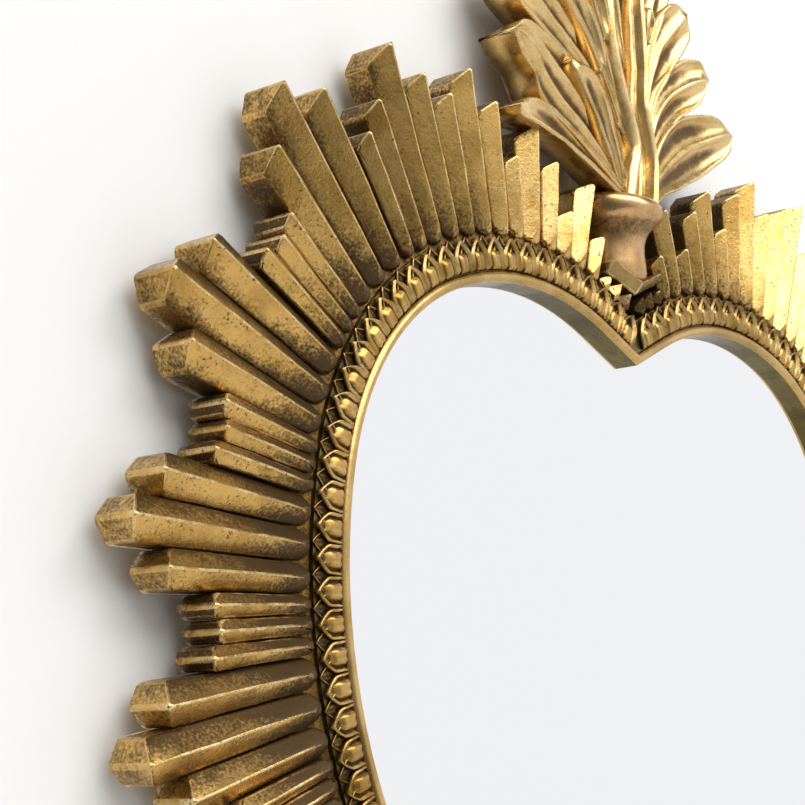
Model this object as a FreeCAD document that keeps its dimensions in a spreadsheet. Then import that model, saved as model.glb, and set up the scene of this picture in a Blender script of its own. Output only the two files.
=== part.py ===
import FreeCAD
import Part
import math
import os

# Heart-shaped wall mirror with a moulded gilt frame, a crown of sun rays and a flame finial.
# X runs to the viewer's right, Y into the wall, Z up. The wall is the plane Y = 0, and every
# depth below is a distance from that wall towards the viewer, so a depth of 10 lies at Y = -10.

V = FreeCAD.Vector
doc = FreeCAD.newDocument("heart_mirror")
sheet = doc.addObject("Spreadsheet::Sheet", "Sizes")

SIZES = [
    # the heart line, which runs where the tongue band meets the lip
    ("cusp_height", 70),
    ("cusp_slope", 24),
    ("flank_run", 22),
    ("lobe_radius", 140),
    ("lobe_turn", 44),
    ("shoulder_radius", 108),
    ("shoulder_turn", 56),
    ("side_radius", 186),
    ("side_turn", 54),
    ("tip_radius", 26),
    # depths from the wall
    ("stand_off", 6),
    ("flange_thick", 4),
    ("board_inset", 1),
    ("board_thick", 4),
    ("glass_thick", 4),
    ("lip_thick", 5),
    # the frame's section, measured outward from the heart line
    ("lip_in", 9),
    ("glass_rebate", 2.7),
    ("board_rebate", 4),
    ("block_out", 8.1),
    ("flange_out", 30),
    ("glass_gap", 0.3),
    ("board_gap", 0.3),
    # lip bead and tongue band
    ("bead_radius", 2.2),
    ("band_in", 4.2),
    ("band_thick", 2.2),
    ("tongue_reach", 7.8),
    ("tongue_notch", 2),
    ("tongue_start", 3.2),
    ("egg_radius", 2.2),
    # sun rays
    ("ray_root", 8.4),
    ("ray_gap", 0.3),
    ("ray_crest", 22.4),
    ("ray_rise", 0.02),
    ("ray_slope", 40),
    ("ray_widest", 17),
    ("ray_hip", 7),
    ("ray_hip_drop", 2.6),
    ("ray_longest", 89),
    ("ray_heel_gap", 1),
    ("crown_start", 8),
    # finial
    ("plate_low", 20),
    ("plate_half", 18.8),
    ("plate_thick", 4.8),
    ("plate_prow", 26.1),
    ("plate_under", 4.35),
    ("plate_swept", 2),
    ("throat_gap", 0.3),
    ("throat_rim", 23.2),
    ("throat_waist", 16.9),
    ("throat_foot", 18.4),
    ("throat_drop", 10.2),
    ("flame_tall", 135),
    ("leaf_back", 7),
    ("leaf_rim", 7.5),
    ("leaf_curl", 3),
    ("leaf_flute", 1.8),
    ("flute_wide", 3.7),
    ("leaf_dome", 1.6),
    ("leaf_gap", 0.3),
    ("strand_wall", 5),
    ("strand_dome", 8),
    ("neck_half", 12),
    ("neck_up", 35),
    ("plate_screw_up", 2.4),
    ("flame_screw_low", 17),
    ("flame_screw_high", 29),
    ("flame_screw_side", 9),
    # fasteners, hangers and bumpers
    ("screw_radius", 1.4),
    ("screw_hole", 1.7),
    ("screw_head", 3),
    ("screw_head_thick", 1.4),
    ("board_screw_long", 8.5),
    ("hanger_out", 17),
    ("strap_wide", 12),
    ("strap_long", 40),
    ("strap_thick", 1),
    ("wire_radius", 1.2),
    ("wire_gap", 0.3),
    ("ring_inside", 18),
    ("ring_drop", 17),
    ("bumper_radius", 6),
    ("bumper_round", 1),
]
for row, (alias, value) in enumerate(SIZES, start=1):
    sheet.set("A%d" % row, alias)
    sheet.set("B%d" % row, str(value))
    sheet.setAlias("B%d" % row, alias)
doc.recompute()


def size(name):
    return float(sheet.get(name))


TONGUES_PER_SIDE = 61
CLUSTERS_PER_SIDE = 9
BOARD_SCREWS_PER_SIDE = 6

REAR = size("stand_off")
FLANGE_FRONT = REAR + size("flange_thick")
BOARD_REAR = REAR + size("board_inset")
BOARD_FRONT = BOARD_REAR + size("board_thick")
GLASS_FRONT = BOARD_FRONT + size("glass_thick")
LIP_FRONT = GLASS_FRONT + size("lip_thick")
CUSP = size("cusp_height")


# The heart line of the left half is a short flank, three tangent arcs, a straight side and a
# rounded point. Each run is kept as its start, heading, length and radius (0 for a straight).
def heart_runs():
    x, z = 0.0, CUSP
    heading = math.pi - math.radians(size("cusp_slope"))
    runs = [(x, z, heading, size("flank_run"), 0.0)]
    x += size("flank_run") * math.cos(heading)
    z += size("flank_run") * math.sin(heading)
    for name in ("lobe", "shoulder", "side"):
        radius = size(name + "_radius")
        turn = math.radians(size(name + "_turn"))
        runs.append((x, z, heading, radius * turn, radius))
        x += radius * (math.sin(heading + turn) - math.sin(heading))
        z += radius * (math.cos(heading) - math.cos(heading + turn))
        heading += turn
    tip = size("tip_radius")
    side = -(x - tip * math.sin(heading)) / math.cos(heading)
    runs.append((x, z, heading, side, 0.0))
    x += side * math.cos(heading)
    z += side * math.sin(heading)
    runs.append((x, z, heading, tip * (2 * math.pi - heading), tip))
    return runs


RUNS = heart_runs()
HALF_LENGTH = sum(run[3] for run in RUNS)


def heart_at(along):
    for x, z, heading, length, radius in RUNS:
        if along <= length or (x, z) == RUNS[-1][:2]:
            break
        along -= length
    if radius == 0:
        return x + along * math.cos(heading), z + along * math.sin(heading), heading
    end = heading + along / radius
    x += radius * (math.sin(end) - math.sin(heading))
    z += radius * (math.cos(heading) - math.cos(end))
    return x, z, end


def heart_off(along, out):
    x, z, heading = heart_at(along)
    return x + out * math.sin(heading), z - out * math.cos(heading)


# One half of the heart line pushed outward by a distance, as plain curves in sketch axes.
def half_curves(out, side=-1):
    curves = []
    slope = math.radians(size("cusp_slope"))
    start = V(0, CUSP + out / math.cos(slope), 0)
    for x, z, heading, length, radius in RUNS:
        nx, nz = math.sin(heading), -math.cos(heading)
        if radius == 0:
            end_x = x + length * math.cos(heading) + out * nx
            end_z = z + length * math.sin(heading) + out * nz
            end = V(-side * end_x, end_z, 0)
            curves.append(Part.LineSegment(start, end))
        else:
            centre = V(-side * (x - radius * nx), z - radius * nz, 0)
            first = heading - math.pi / 2
            last = first + length / radius
            if side > 0:
                first, last = math.pi - last, math.pi - first
            circle = Part.Circle(centre, V(0, 0, 1), radius + out)
            curves.append(Part.ArcOfCircle(circle, first, last))
            end_angle = last if side < 0 else first
            end = centre + V(math.cos(end_angle), math.sin(end_angle), 0) * (radius + out)
        start = end
    return curves


def heart_curves(out):
    return half_curves(out, -1) + half_curves(out, 1)


def upright(shape, depth):
    # turns sketch axes into the wall frame, at a depth from the wall
    turn = FreeCAD.Rotation(V(1, 0, 0), 90)
    shape.Placement = FreeCAD.Placement(V(0, -depth, 0), turn).multiply(shape.Placement)
    return shape


def front_prism(points, depth, thick):
    corners = [V(x, -depth, z) for x, z in points]
    face = Part.Face(Part.makePolygon(corners + corners[:1]))
    return face.extrude(V(0, -thick, 0))


def mirrored(shape):
    return shape.mirror(V(0, 0, 0), V(1, 0, 0))


def new_body(label):
    body = doc.addObject("PartDesign::Body", label)
    body.Label = label
    return body


def plane_of(body, role):
    for item in body.Origin.OriginFeatures:
        if item.Role == role:
            return item


def wall_sketch(body, label, curves, depth):
    sketch = body.newObject("Sketcher::SketchObject", label)
    sketch.AttachmentSupport = [(plane_of(body, "XZ_Plane"), "")]
    sketch.MapMode = "FlatFace"
    sketch.setExpression(".AttachmentOffset.Base.z", depth)
    sketch.addGeometry(curves, False)
    return sketch


def pad(body, label, curves, depth, thick):
    feature = body.newObject("PartDesign::Pad", label)
    feature.Profile = wall_sketch(body, label + "_outline", curves, depth)
    feature.setExpression("Length", thick)
    return feature


def pocket(body, label, curves, depth, deep):
    feature = body.newObject("PartDesign::Pocket", label)
    feature.Profile = wall_sketch(body, label + "_outline", curves, depth)
    feature.setExpression("Length", deep)
    return feature


def circles(places, radius):
    return [Part.Circle(V(x, z, 0), V(0, 0, 1), radius) for x, z in places]


def plain(label, shape):
    item = doc.addObject("Part::Feature", label)
    item.Label = label
    item.Shape = shape
    return item


# Ray widths share out the heart line from the cusp to the point, and each reach is a share of
# the longest ray. Three stubs stand under the finial, then the crown grows over the lobe.
STUBS = [(7.8, 0.18), (7.4, 0.18), (7.2, 0.175)]
CROWN = [
    (8.2, 0.33), (10.2, 0.54), (9.6, 0.34), (9, 0.53), (11.8, 0.65), (8.2, 0.48), (9.6, 0.70),
    (10.8, 0.82), (9.2, 0.71), (10, 0.80), (10.2, 0.94), (7.8, 0.74), (7.2, 0.64),
]
# Round the sides three long rays and three short ones take turns.
CLUSTER = [(10.2, 0.88), (10.4, 1), (9.6, 0.84), (6.2, 0.63), (6, 0.61), (6.2, 0.65)]
# At the point they close up at the root and spread apart on each side of a middle one.
POINT_SIDE = [(9.2, 0.88), (9.4, 0.99), (9, 0.83), (5.8, 0.65), (5.8, 0.79), (5.8, 0.92)]
POINT_MIDDLE = (6, 1.05)

# The finial's throat ends a little below the tallest ray that its lower leaves pass over.
UNDER_LEAVES = CROWN[:8]
throat_top = max(reach for width, reach in UNDER_LEAVES) * size("ray_longest") - size("throat_drop")
top = CUSP + throat_top

NODES = []

# Screw places: round the backing board, behind the finial and on the two hangers.
board_screw_places = []
for index in range(BOARD_SCREWS_PER_SIDE):
    along = HALF_LENGTH * (index + 0.5) / BOARD_SCREWS_PER_SIDE
    x, z = heart_off(along, (size("board_rebate") - size("glass_rebate")) / 2)
    board_screw_places.append((x, z))
    board_screw_places.append((-x, z))
HANGER_SCREW_SHARES = (0.62, 0.86)
hanger_level = -size("strap_long") * sum(HANGER_SCREW_SHARES) / 2
steps = [HALF_LENGTH * step / 2000 for step in range(700, 1400)]
beside = min(steps, key=lambda along: abs(heart_at(along)[1] - hanger_level))
hanger_reach = size("hanger_out") - heart_at(beside)[0]
hanger_screw_places = []
for side in (-1, 1):
    for share in HANGER_SCREW_SHARES:
        hanger_screw_places.append((side * hanger_reach, -share * size("strap_long")))
finial_screw_places = [
    (0, CUSP + size("plate_low") + size("plate_screw_up")),
    (0, top + size("flame_screw_low")),
    (size("flame_screw_side"), top + size("flame_screw_high")),
]

# Frame core: the heart ring that carries everything, with a wide rear flange behind the rays,
# a raised block under the band, a lip in front of the glass and two steps cut from the back.
core = new_body("frame_core")
pad(core, "flange", heart_curves(size("flange_out")), "Sizes.stand_off", "Sizes.flange_thick")
half = size("neck_half")
low = CUSP + size("block_out")
high = top + size("neck_up")
corners = [V(-half, low, 0), V(half, low, 0), V(half, high, 0), V(-half, high, 0)]
neck = [Part.LineSegment(corners[i], corners[(i + 1) % 4]) for i in range(4)]
pad(core, "finial_neck", neck, "Sizes.stand_off", "Sizes.flange_thick")
pad(core, "block", heart_curves(size("block_out")), "Sizes.stand_off",
    "Sizes.board_inset + Sizes.board_thick + Sizes.glass_thick + Sizes.lip_thick")
front = "Sizes.stand_off + Sizes.board_inset + Sizes.board_thick"
pocket(core, "sight_opening", heart_curves(-size("lip_in")),
       front + " + Sizes.glass_thick + Sizes.lip_thick",
       "Sizes.board_inset + Sizes.board_thick + Sizes.glass_thick + Sizes.lip_thick + 1")
pocket(core, "glass_step", heart_curves(-size("glass_rebate")), front + " + Sizes.glass_thick",
       "Sizes.board_inset + Sizes.board_thick + Sizes.glass_thick + 1")
pocket(core, "board_step", heart_curves(size("board_rebate")), front,
       "Sizes.board_inset + Sizes.board_thick + 1")
pocket(core, "board_screw_holes", circles(board_screw_places, size("screw_hole")),
       front + " + Sizes.board_screw_long - Sizes.board_thick + 0.5",
       "Sizes.board_screw_long - Sizes.board_thick + 1")
pocket(core, "rear_screw_holes",
       circles(hanger_screw_places + finial_screw_places, size("screw_hole")),
       "Sizes.stand_off + Sizes.flange_thick + 1", "Sizes.flange_thick + 2")
NODES.append(core)

# Lip bead: a half-round moulding on the lip, mitred at the cusp.
bead_line = (size("lip_in") + size("band_in") + 0.4) / 2
bead_halves = []
for side in (-1, 1):
    curves = half_curves(-bead_line, side)
    path = Part.Wire([curve.toShape() for curve in curves])
    first = curves[0]
    away = (first.EndPoint - first.StartPoint).normalize()
    begin = first.StartPoint - away * 6
    path = Part.Wire([Part.makeLine(begin, first.EndPoint)]
                     + [curve.toShape() for curve in curves[1:]])
    across = V(-away.y, away.x, 0)
    radius = size("bead_radius")
    left = begin + across * radius
    right = begin - across * radius
    crest = begin + V(0, 0, radius)
    outline = Part.Wire([Part.Arc(left, crest, right).toShape(), Part.makeLine(right, left)])
    strip = path.makePipeShell([outline], True, False)
    wide = V(0 if side > 0 else -HALF_LENGTH, -HALF_LENGTH, -radius)
    keep = Part.makeBox(HALF_LENGTH, 2 * HALF_LENGTH, 4 * radius, wide)
    bead_halves.append(strip.common(keep))
bead = bead_halves[0].fuse(bead_halves[1]).removeSplitter()
NODES.append(plain("lip_bead", upright(bead.Solids[0], LIP_FRONT)))

# Tongue band: on each side one strip of pointed tongues, with an egg ridge on every tongue.
pitch = (HALF_LENGTH - size("tongue_start")) / TONGUES_PER_SIDE
band_top = LIP_FRONT + size("band_thick")
inner = half_curves(-size("band_in"), -1)
edge = [curve.toShape() for curve in inner]
slope = math.radians(size("cusp_slope"))
points = [(0, CUSP + size("tongue_notch") / math.cos(slope))]
for index in range(TONGUES_PER_SIDE):
    start = size("tongue_start") + index * pitch
    points.append(heart_off(start, size("tongue_notch")))
    points.append(heart_off(start + 0.14 * pitch, 0.55 * size("tongue_reach")))
    points.append(heart_off(start + 0.5 * pitch, size("tongue_reach")))
    points.append(heart_off(start + 0.86 * pitch, 0.55 * size("tongue_reach")))
points.append((0, heart_off(HALF_LENGTH, size("tongue_notch"))[1]))
corners = [inner[0].StartPoint] + [V(x, z, 0) for x, z in points]
last = heart_off(HALF_LENGTH, -size("band_in"))
corners.append(V(0, last[1], 0))
outline = Part.Wire(Part.__sortEdges__(edge + Part.makePolygon(corners).Edges))
strip = upright(Part.Face(outline).extrude(V(0, 0, size("band_thick"))), LIP_FRONT)
eggs = []
for index in range(TONGUES_PER_SIDE):
    x, z, heading = heart_at(size("tongue_start") + (index + 0.5) * pitch)
    out = V(math.sin(heading), 0, -math.cos(heading))
    wide = V(math.cos(heading), 0, math.sin(heading)) * size("egg_radius")
    tall = V(0, -1.6, 0)
    foot = V(x, -band_top + 0.3, z) - out * (size("band_in") - 0.8)
    section = [foot - wide, foot - wide * 0.7 + tall * 0.75, foot + tall,
               foot + wide * 0.7 + tall * 0.75, foot + wide]
    face = Part.Face(Part.makePolygon(section + section[:1]))
    eggs.append(face.extrude(out * (size("band_in") - 0.8 + 0.5 * size("tongue_reach"))))
band = strip.multiFuse(eggs)
NODES.append(plain("tongue_band_left", band.Solids[0]))
NODES.append(plain("tongue_band_right", mirrored(band.Solids[0])))


# Sun rays. Each ray is a bar with a ridge down its middle, hipped at the root and pointed at
# the end. Its sides lie on the normals of the heart line, so that neighbours fan out together.
def clip(polygon, a, b, c):
    # keeps the part of a plan polygon where a*u + b*v <= c
    kept = []
    for i in range(len(polygon)):
        p, q = polygon[i], polygon[(i + 1) % len(polygon)]
        dp = a * p[0] + b * p[1] - c
        dq = a * q[0] + b * q[1] - c
        if dp <= 1e-9:
            kept.append(p)
        if (dp < -1e-9 and dq > 1e-9) or (dp > 1e-9 and dq < -1e-9):
            share = dp / (dp - dq)
            kept.append((p[0] + share * (q[0] - p[0]), p[1] + share * (q[1] - p[1])))
    return kept


def ray_solid(start, width, reach):
    gap = size("ray_gap") / 2
    x, z, heading = heart_at(start + width / 2)
    out = (math.sin(heading), -math.cos(heading))
    across = (math.cos(heading), math.sin(heading))

    def local(along, away, shift):
        px, pz = heart_off(along, away)
        px -= x
        pz -= z
        u = px * out[0] + pz * out[1]
        v = px * across[0] + pz * across[1]
        return u, v + shift

    root = size("ray_root")
    near_a = local(start, root, gap)
    near_b = local(start + width, root, -gap)
    far_a = local(start, reach, gap)
    far_b = local(start + width, reach, -gap)
    root_half = (near_b[1] - near_a[1]) / 2
    tip_half = min((far_b[1] - far_a[1]) / 2, size("ray_widest") / 2)
    point = min(0.75 * tip_half, 0.4 * (reach - root))
    hip = min(size("ray_hip"), 0.4 * (reach - root))
    grow = (far_b[1] - far_a[1]) / 2 - root_half
    turn_at = reach - point
    if grow > 0 and tip_half < root_half + grow:
        turn_at = root + (reach - root) * (tip_half - root_half) / grow
    outline = [(root, 0), (root + hip, root_half)]
    if turn_at < reach - point:
        outline.append((turn_at, tip_half))
        outline.append((reach - point, tip_half))
    else:
        share = (reach - point - root) / (reach - root)
        outline.append((reach - point, root_half + share * grow))
    outline += [(reach, 0)]
    outline += [(u, -v) for u, v in reversed(outline[1:-1])]

    # roof planes as height = h0 + hu*u + hv*v
    rise = size("ray_rise")
    fall = math.tan(math.radians(size("ray_slope")))
    crest = size("ray_crest") - rise * root
    roofs = [(crest, rise, -fall), (crest, rise, fall)]
    hip_slope = size("ray_hip_drop") / hip
    roofs.append((size("ray_crest") - size("ray_hip_drop") - hip_slope * root, hip_slope, 0.0))
    floor = FLANGE_FRONT

    def height(plane, p):
        return plane[0] + plane[1] * p[0] + plane[2] * p[1]

    def place(p, tall):
        px = x + p[0] * out[0] + p[1] * across[0]
        pz = z + p[0] * out[1] + p[1] * across[1]
        return V(px, -tall, pz)

    faces = []
    tops = []
    for plane in roofs:
        area = outline
        for other in roofs:
            if other is not plane:
                area = clip(area, plane[1] - other[1], plane[2] - other[2], other[0] - plane[0])
        if len(area) > 2:
            tops.append((plane, area))
            corners = [place(p, height(plane, p)) for p in area]
            faces.append(Part.Face(Part.makePolygon(corners + corners[:1])))

    def roof_height(p):
        return min(height(plane, p) for plane in roofs)

    for i in range(len(outline)):
        p, q = outline[i], outline[(i + 1) % len(outline)]
        du, dv = q[0] - p[0], q[1] - p[1]
        span = du * du + dv * dv
        shares = [0.0, 1.0]
        for plane, area in tops:
            for corner in area:
                share = ((corner[0] - p[0]) * du + (corner[1] - p[1]) * dv) / span
                off = abs((corner[0] - p[0]) * dv - (corner[1] - p[1]) * du) / math.sqrt(span)
                if off < 1e-6 and 1e-6 < share < 1 - 1e-6:
                    if all(abs(share - s) > 1e-6 for s in shares):
                        shares.append(share)
        top = [(p[0] + s * du, p[1] + s * dv) for s in sorted(shares)]
        corners = [place(p, floor), place(q, floor)]
        corners += [place(t, roof_height(t)) for t in reversed(top)]
        faces.append(Part.Face(Part.makePolygon(corners + corners[:1])))
    corners = [place(p, floor) for p in outline]
    faces.append(Part.Face(Part.makePolygon(corners + corners[:1])))
    solid = Part.Solid(Part.Shell(faces))
    if solid.Volume < 0:
        solid.reverse()
    # past the flange the ray is cast down to the back of the frame
    heel = clip(outline, -1, 0, -size("flange_out") - size("ray_heel_gap"))
    if len(heel) > 2:
        corners = [place(p, REAR) for p in heel]
        block = Part.Face(Part.makePolygon(corners + corners[:1])).extrude(V(0, REAR - FLANGE_FRONT, 0))
        solid = solid.fuse(block).removeSplitter().Solids[0]
    return solid


shares = [width for width, reach in STUBS + CROWN + CLUSTER * CLUSTERS_PER_SIDE + POINT_SIDE]
stretch = (HALF_LENGTH - size("crown_start")) / (sum(shares) + POINT_MIDDLE[0] / 2)
along = size("crown_start")


def ray_group(pattern, start):
    rays = []
    for width, reach in pattern:
        rays.append(ray_solid(start, width * stretch, reach * size("ray_longest")))
        start += width * stretch
    return rays, start


crown, along = ray_group(STUBS + CROWN, along)
NODES.append(plain("ray_crown_left", Part.Compound(crown)))
NODES.append(plain("ray_crown_right", mirrored(Part.Compound(crown))))
for index in range(CLUSTERS_PER_SIDE):
    cluster, along = ray_group(CLUSTER, along)
    NODES.append(plain("ray_cluster_left_%d" % (index + 1), Part.Compound(cluster)))
    NODES.append(plain("ray_cluster_right_%d" % (index + 1), mirrored(Part.Compound(cluster))))
point_side, along = ray_group(POINT_SIDE, along)
point_middle, along = ray_group([POINT_MIDDLE], along)
point_rays = point_side + [mirrored(ray) for ray in point_side] + point_middle
NODES.append(plain("ray_cluster_point", Part.Compound(point_rays)))

# Finial plate: a cornice bent over the cusp that follows both flanks. Its front is undercut, and
# its two arms sweep back a little from the middle.
plate_low = CUSP + size("plate_low")
plate_rise = 0.38
plate_mid = plate_low + size("plate_thick")
plate_lip = size("plate_prow") - size("plate_under")
section = [
    V(0, 0, plate_low), V(0, -plate_lip, plate_low), V(0, -size("plate_prow"), plate_mid), V(0, 0, plate_mid),
]
section = Part.Face(Part.makePolygon(section + section[:1]))
arms = []
for side in (-1, 1):
    run = V(side * size("plate_half"), size("plate_swept"), plate_rise * size("plate_half"))
    arms.append(section.extrude(run))
plate = arms[0].fuse(arms[1])
plate_box = [
    (-size("plate_half"), CUSP), (size("plate_half"), CUSP), (size("plate_half"), 2 * plate_mid - CUSP),
    (-size("plate_half"), 2 * plate_mid - CUSP),
]
plate = plate.common(front_prism(plate_box, FLANGE_FRONT, size("plate_prow"))).removeSplitter()
hole_x, hole_z = finial_screw_places[0]
screw_reach = 5
hole = Part.makeCylinder(size("screw_hole"), screw_reach, V(hole_x, -FLANGE_FRONT, hole_z), V(0, -1, 0))
plate = plate.cut(hole)
NODES.append(plain("finial_plate", plate.Solids[0]))

# Finial throat: a half-round collar that stands on the plate, waisted, with a flared rim.
throat = new_body("finial_throat")
rim = size("throat_rim")
foot = size("throat_foot")
waist = size("throat_waist")
foot_low = plate_low + 4
waist_at = top - 0.283 * throat_top
profile = [V(0, foot_low, 0), V(foot, foot_low, 0), V(foot, plate_mid + 7, 0)]
flare = Part.BSplineCurve()
flare.interpolate([profile[-1], V(waist, waist_at, 0), V(rim, top - 5, 0)])
sides = [Part.LineSegment(profile[0], profile[1]), Part.LineSegment(profile[1], profile[2]), flare]
sides.append(Part.LineSegment(V(rim, top - 5, 0), V(rim, top - 2, 0)))
sides.append(Part.LineSegment(V(rim, top - 2, 0), V(rim - 1.4, top, 0)))
sides.append(Part.LineSegment(V(rim - 1.4, top, 0), V(0, top, 0)))
sides.append(Part.LineSegment(V(0, top, 0), profile[0]))
turned = throat.newObject("PartDesign::Revolution", "turned_collar")
throat_axis = "Sizes.stand_off + Sizes.flange_thick + Sizes.throat_gap"
turned.Profile = wall_sketch(throat, "collar_profile", sides, throat_axis)
turned.ReferenceAxis = (turned.Profile[0], ["V_Axis"])
turned.Angle = 180
turned.Reversed = True
seat = [
    V(0, plate_mid, 0), V(60, plate_mid + plate_rise * 60, 0), V(60, CUSP - 20, 0),
    V(-60, CUSP - 20, 0), V(-60, plate_mid + plate_rise * 60, 0),
]
pocket(throat, "plate_seat", [Part.LineSegment(seat[i], seat[(i + 1) % 5]) for i in range(5)],
       "4 * Sizes.throat_rim + 20", "4 * Sizes.throat_rim + 20")
NODES.append(throat)


# Flame finial: leaves and strands that rise from the throat. A leaf is drawn by its spine,
# given as (right of the axis, above the throat's rim), and its greatest half width.
# A strand has its half width at each point of the spine. FLAME_DRAWN is the height they suit.
FLAME_DRAWN = 135
LEAVES = [
    ("leaf_left_lower", [(-6, -2), (-20, 10), (-46, 19), (-75, 23)], 6.4),
    ("leaf_left_large", [(-6, 1), (-18, 19), (-36, 36), (-57, 44), (-84, 52)], 15),
    ("leaf_left_upper", [(-5, 9), (-14, 33), (-30, 53), (-50, 66), (-81, 78)], 14),
    ("flame_left_side", [(-6, 31), (-14, 57), (-27, 76), (-43, 89), (-63, 102)], 12.5),
    ("flame_left_top", [(-6, 55), (-12, 80), (-20, 100), (-32, 121)], 10.5),
    ("leaf_right_lower", [(9, -1), (22, 14), (38, 26), (56, 34), (79, 42)], 14),
    ("leaf_right_middle", [(10, 9), (22, 34), (36, 51), (60, 68)], 11.5),
    ("leaf_right_upper", [(10.5, 31), (19, 57), (30, 75), (48, 91)], 10),
    ("flame_right_top", [(11.5, 55), (18, 82), (25, 99), (35, 115)], 9),
]
STRANDS = [
    ("flame_strand_left", [(-6, -3, 5), (0, 21, 5), (-4, 43, 5.5), (-9, 65, 5), (-10, 87, 4.6),
                           (-5, 111, 3.6), (0, 135, 0.6)]),
    ("flame_strand_right", [(7.6, -3, 4.6), (11, 19, 4.4), (8.4, 39, 4.4), (11, 61, 4.2),
                            (11, 83, 3.8), (13, 101, 2.6), (12, 119, 0.6)]),
]
# the web behind the strands, which closes the space between them
WEB = [(-1, -4, 8), (3, 19, 10), (3, 59, 9), (2, 85, 9), (4, 103, 2)]
# how a leaf swells from its root, at 0, to its rounded tip, at 1
SWELL = [(0, 0.3), (0.12, 0.38), (0.25, 0.54), (0.38, 0.73), (0.5, 0.88), (0.62, 0.98), (0.72, 1),
         (0.82, 0.92), (0.9, 0.75), (0.96, 0.5), (1, 0.16)]
STRAND_STEPS = 14
flame_scale = size("flame_tall") / FLAME_DRAWN
leaf_floor = FLANGE_FRONT + size("leaf_back")


def between(pairs, share):
    # a value read off a list of (share, value) pairs
    for (low, first), (high, last) in zip(pairs, pairs[1:]):
        if share <= high:
            return first + (last - first) * (share - low) / (high - low)


def stations_on(points, widths, shares):
    # each station is a point of the spine, its sideways direction, half width and share
    curve = Part.BSplineCurve()
    curve.interpolate([V(x * flame_scale, 0, top + z * flame_scale) for x, z in points])
    stations = []
    for share in shares:
        here = curve.parameterAtDistance(share * curve.length(), curve.FirstParameter)
        along = curve.tangent(here)[0]
        half = between(widths, share) * flame_scale
        stations.append((curve.value(here), V(along.z, 0, -along.x), half, share))
    return stations


def leaf_stations(spine, half):
    return stations_on(spine, [(share, half * swell) for share, swell in SWELL],
                       [share for share, swell in SWELL])


def strand_stations(centres):
    last = len(centres) - 1
    widths = [(index / last, half) for index, (x, z, half) in enumerate(centres)]
    return stations_on([(x, z) for x, z, half in centres], widths,
                       [step / STRAND_STEPS for step in range(STRAND_STEPS + 1)])


def flame_piece(stations, flutes, wall, dome):
    # a ruled loft through upright sections with a flat back and a fluted or domed front
    sections = []
    for point, aside, half, share in stations:
        body = math.sin(math.pi * min(1, 0.12 + 0.8 * share))
        curl = size("leaf_curl") * (1 - 4 * share * (1 - share)) if flutes else 0
        steps = 2 * flutes if flutes else 6
        corners = [point - aside * half + V(0, -leaf_floor, 0)]
        for step in range(steps + 1):
            across = 2 * step / steps - 1
            groove = size("leaf_flute") * body if flutes and step % 2 else 0
            height = leaf_floor + wall + curl + dome * (1 - across * across) * body - groove
            corners.append(point + aside * (half * across) + V(0, -height, 0))
        corners.append(point + aside * half + V(0, -leaf_floor, 0))
        sections.append(Part.makePolygon(corners + corners[:1]))
    return Part.makeLoft(sections, True, True)


def flame_shadow(stations, spare, depth, thick):
    # the outline of a piece seen from the front, widened by a clearance, as a straight prism
    left = [point - aside * (half + spare) for point, aside, half, share in stations]
    right = [point + aside * (half + spare) for point, aside, half, share in stations]
    return front_prism([(p.x, p.z) for p in left + right[::-1]], depth, thick)


under = top - HALF_LENGTH
below = front_prism([(-HALF_LENGTH, under), (HALF_LENGTH, under), (HALF_LENGTH, top), (-HALF_LENGTH, top)],
                    0, HALF_LENGTH)
drawn = [(name, strand_stations(centres), 0) for name, centres in STRANDS]
for name, spine, half in LEAVES:
    drawn.append((name, leaf_stations(spine, half), round(half / size("flute_wide"))))
flame_parts = []
hidden = []
base_prisms = [flame_shadow(strand_stations(WEB), 0, FLANGE_FRONT, size("leaf_back"))]
for name, stations, flutes in drawn:
    wall = size("leaf_rim") if flutes else size("strand_wall")
    dome = size("leaf_dome") if flutes else size("strand_dome")
    solid = flame_piece(stations, flutes, wall, dome).cut(below)
    for other in hidden:
        solid = solid.cut(other)
    flame_parts.append((name, sorted(solid.Solids, key=lambda piece: piece.Volume)[-1]))
    hidden.append(flame_shadow(stations, size("leaf_gap"), leaf_floor - 1, 2 * leaf_floor))
    base_prisms.append(flame_shadow(stations, 0, FLANGE_FRONT, size("leaf_back")))
back = base_prisms[0].multiFuse(base_prisms[1:]).cut(below)
for hole_x, hole_z in finial_screw_places[1:]:
    back = back.cut(Part.makeCylinder(size("screw_hole"), screw_reach,
                                      V(hole_x, -FLANGE_FRONT, hole_z), V(0, -1, 0)))
back = back.removeSplitter()
NODES.append(plain("flame_back", sorted(back.Solids, key=lambda piece: piece.Volume)[-1]))
for name, solid in flame_parts:
    NODES.append(plain(name, solid))

# Mirror glass: silvered float glass cut to a heart, lying against the back of the lip.
glass = new_body("mirror_glass")
pad(glass, "pane", heart_curves(-size("glass_rebate") - size("glass_gap")),
    "Sizes.stand_off + Sizes.board_inset + Sizes.board_thick", "Sizes.glass_thick")
NODES.append(glass)

# Backing board: fibreboard behind the glass, screwed to the step in the frame core.
board = new_body("backing_board")
pad(board, "panel", heart_curves(size("board_rebate") - size("board_gap")),
    "Sizes.stand_off + Sizes.board_inset", "Sizes.board_thick")
pocket(board, "screw_holes", circles(board_screw_places, size("screw_hole")),
       "Sizes.stand_off + Sizes.board_inset + Sizes.board_thick + 1", "Sizes.board_thick + 2")
NODES.append(board)


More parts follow.
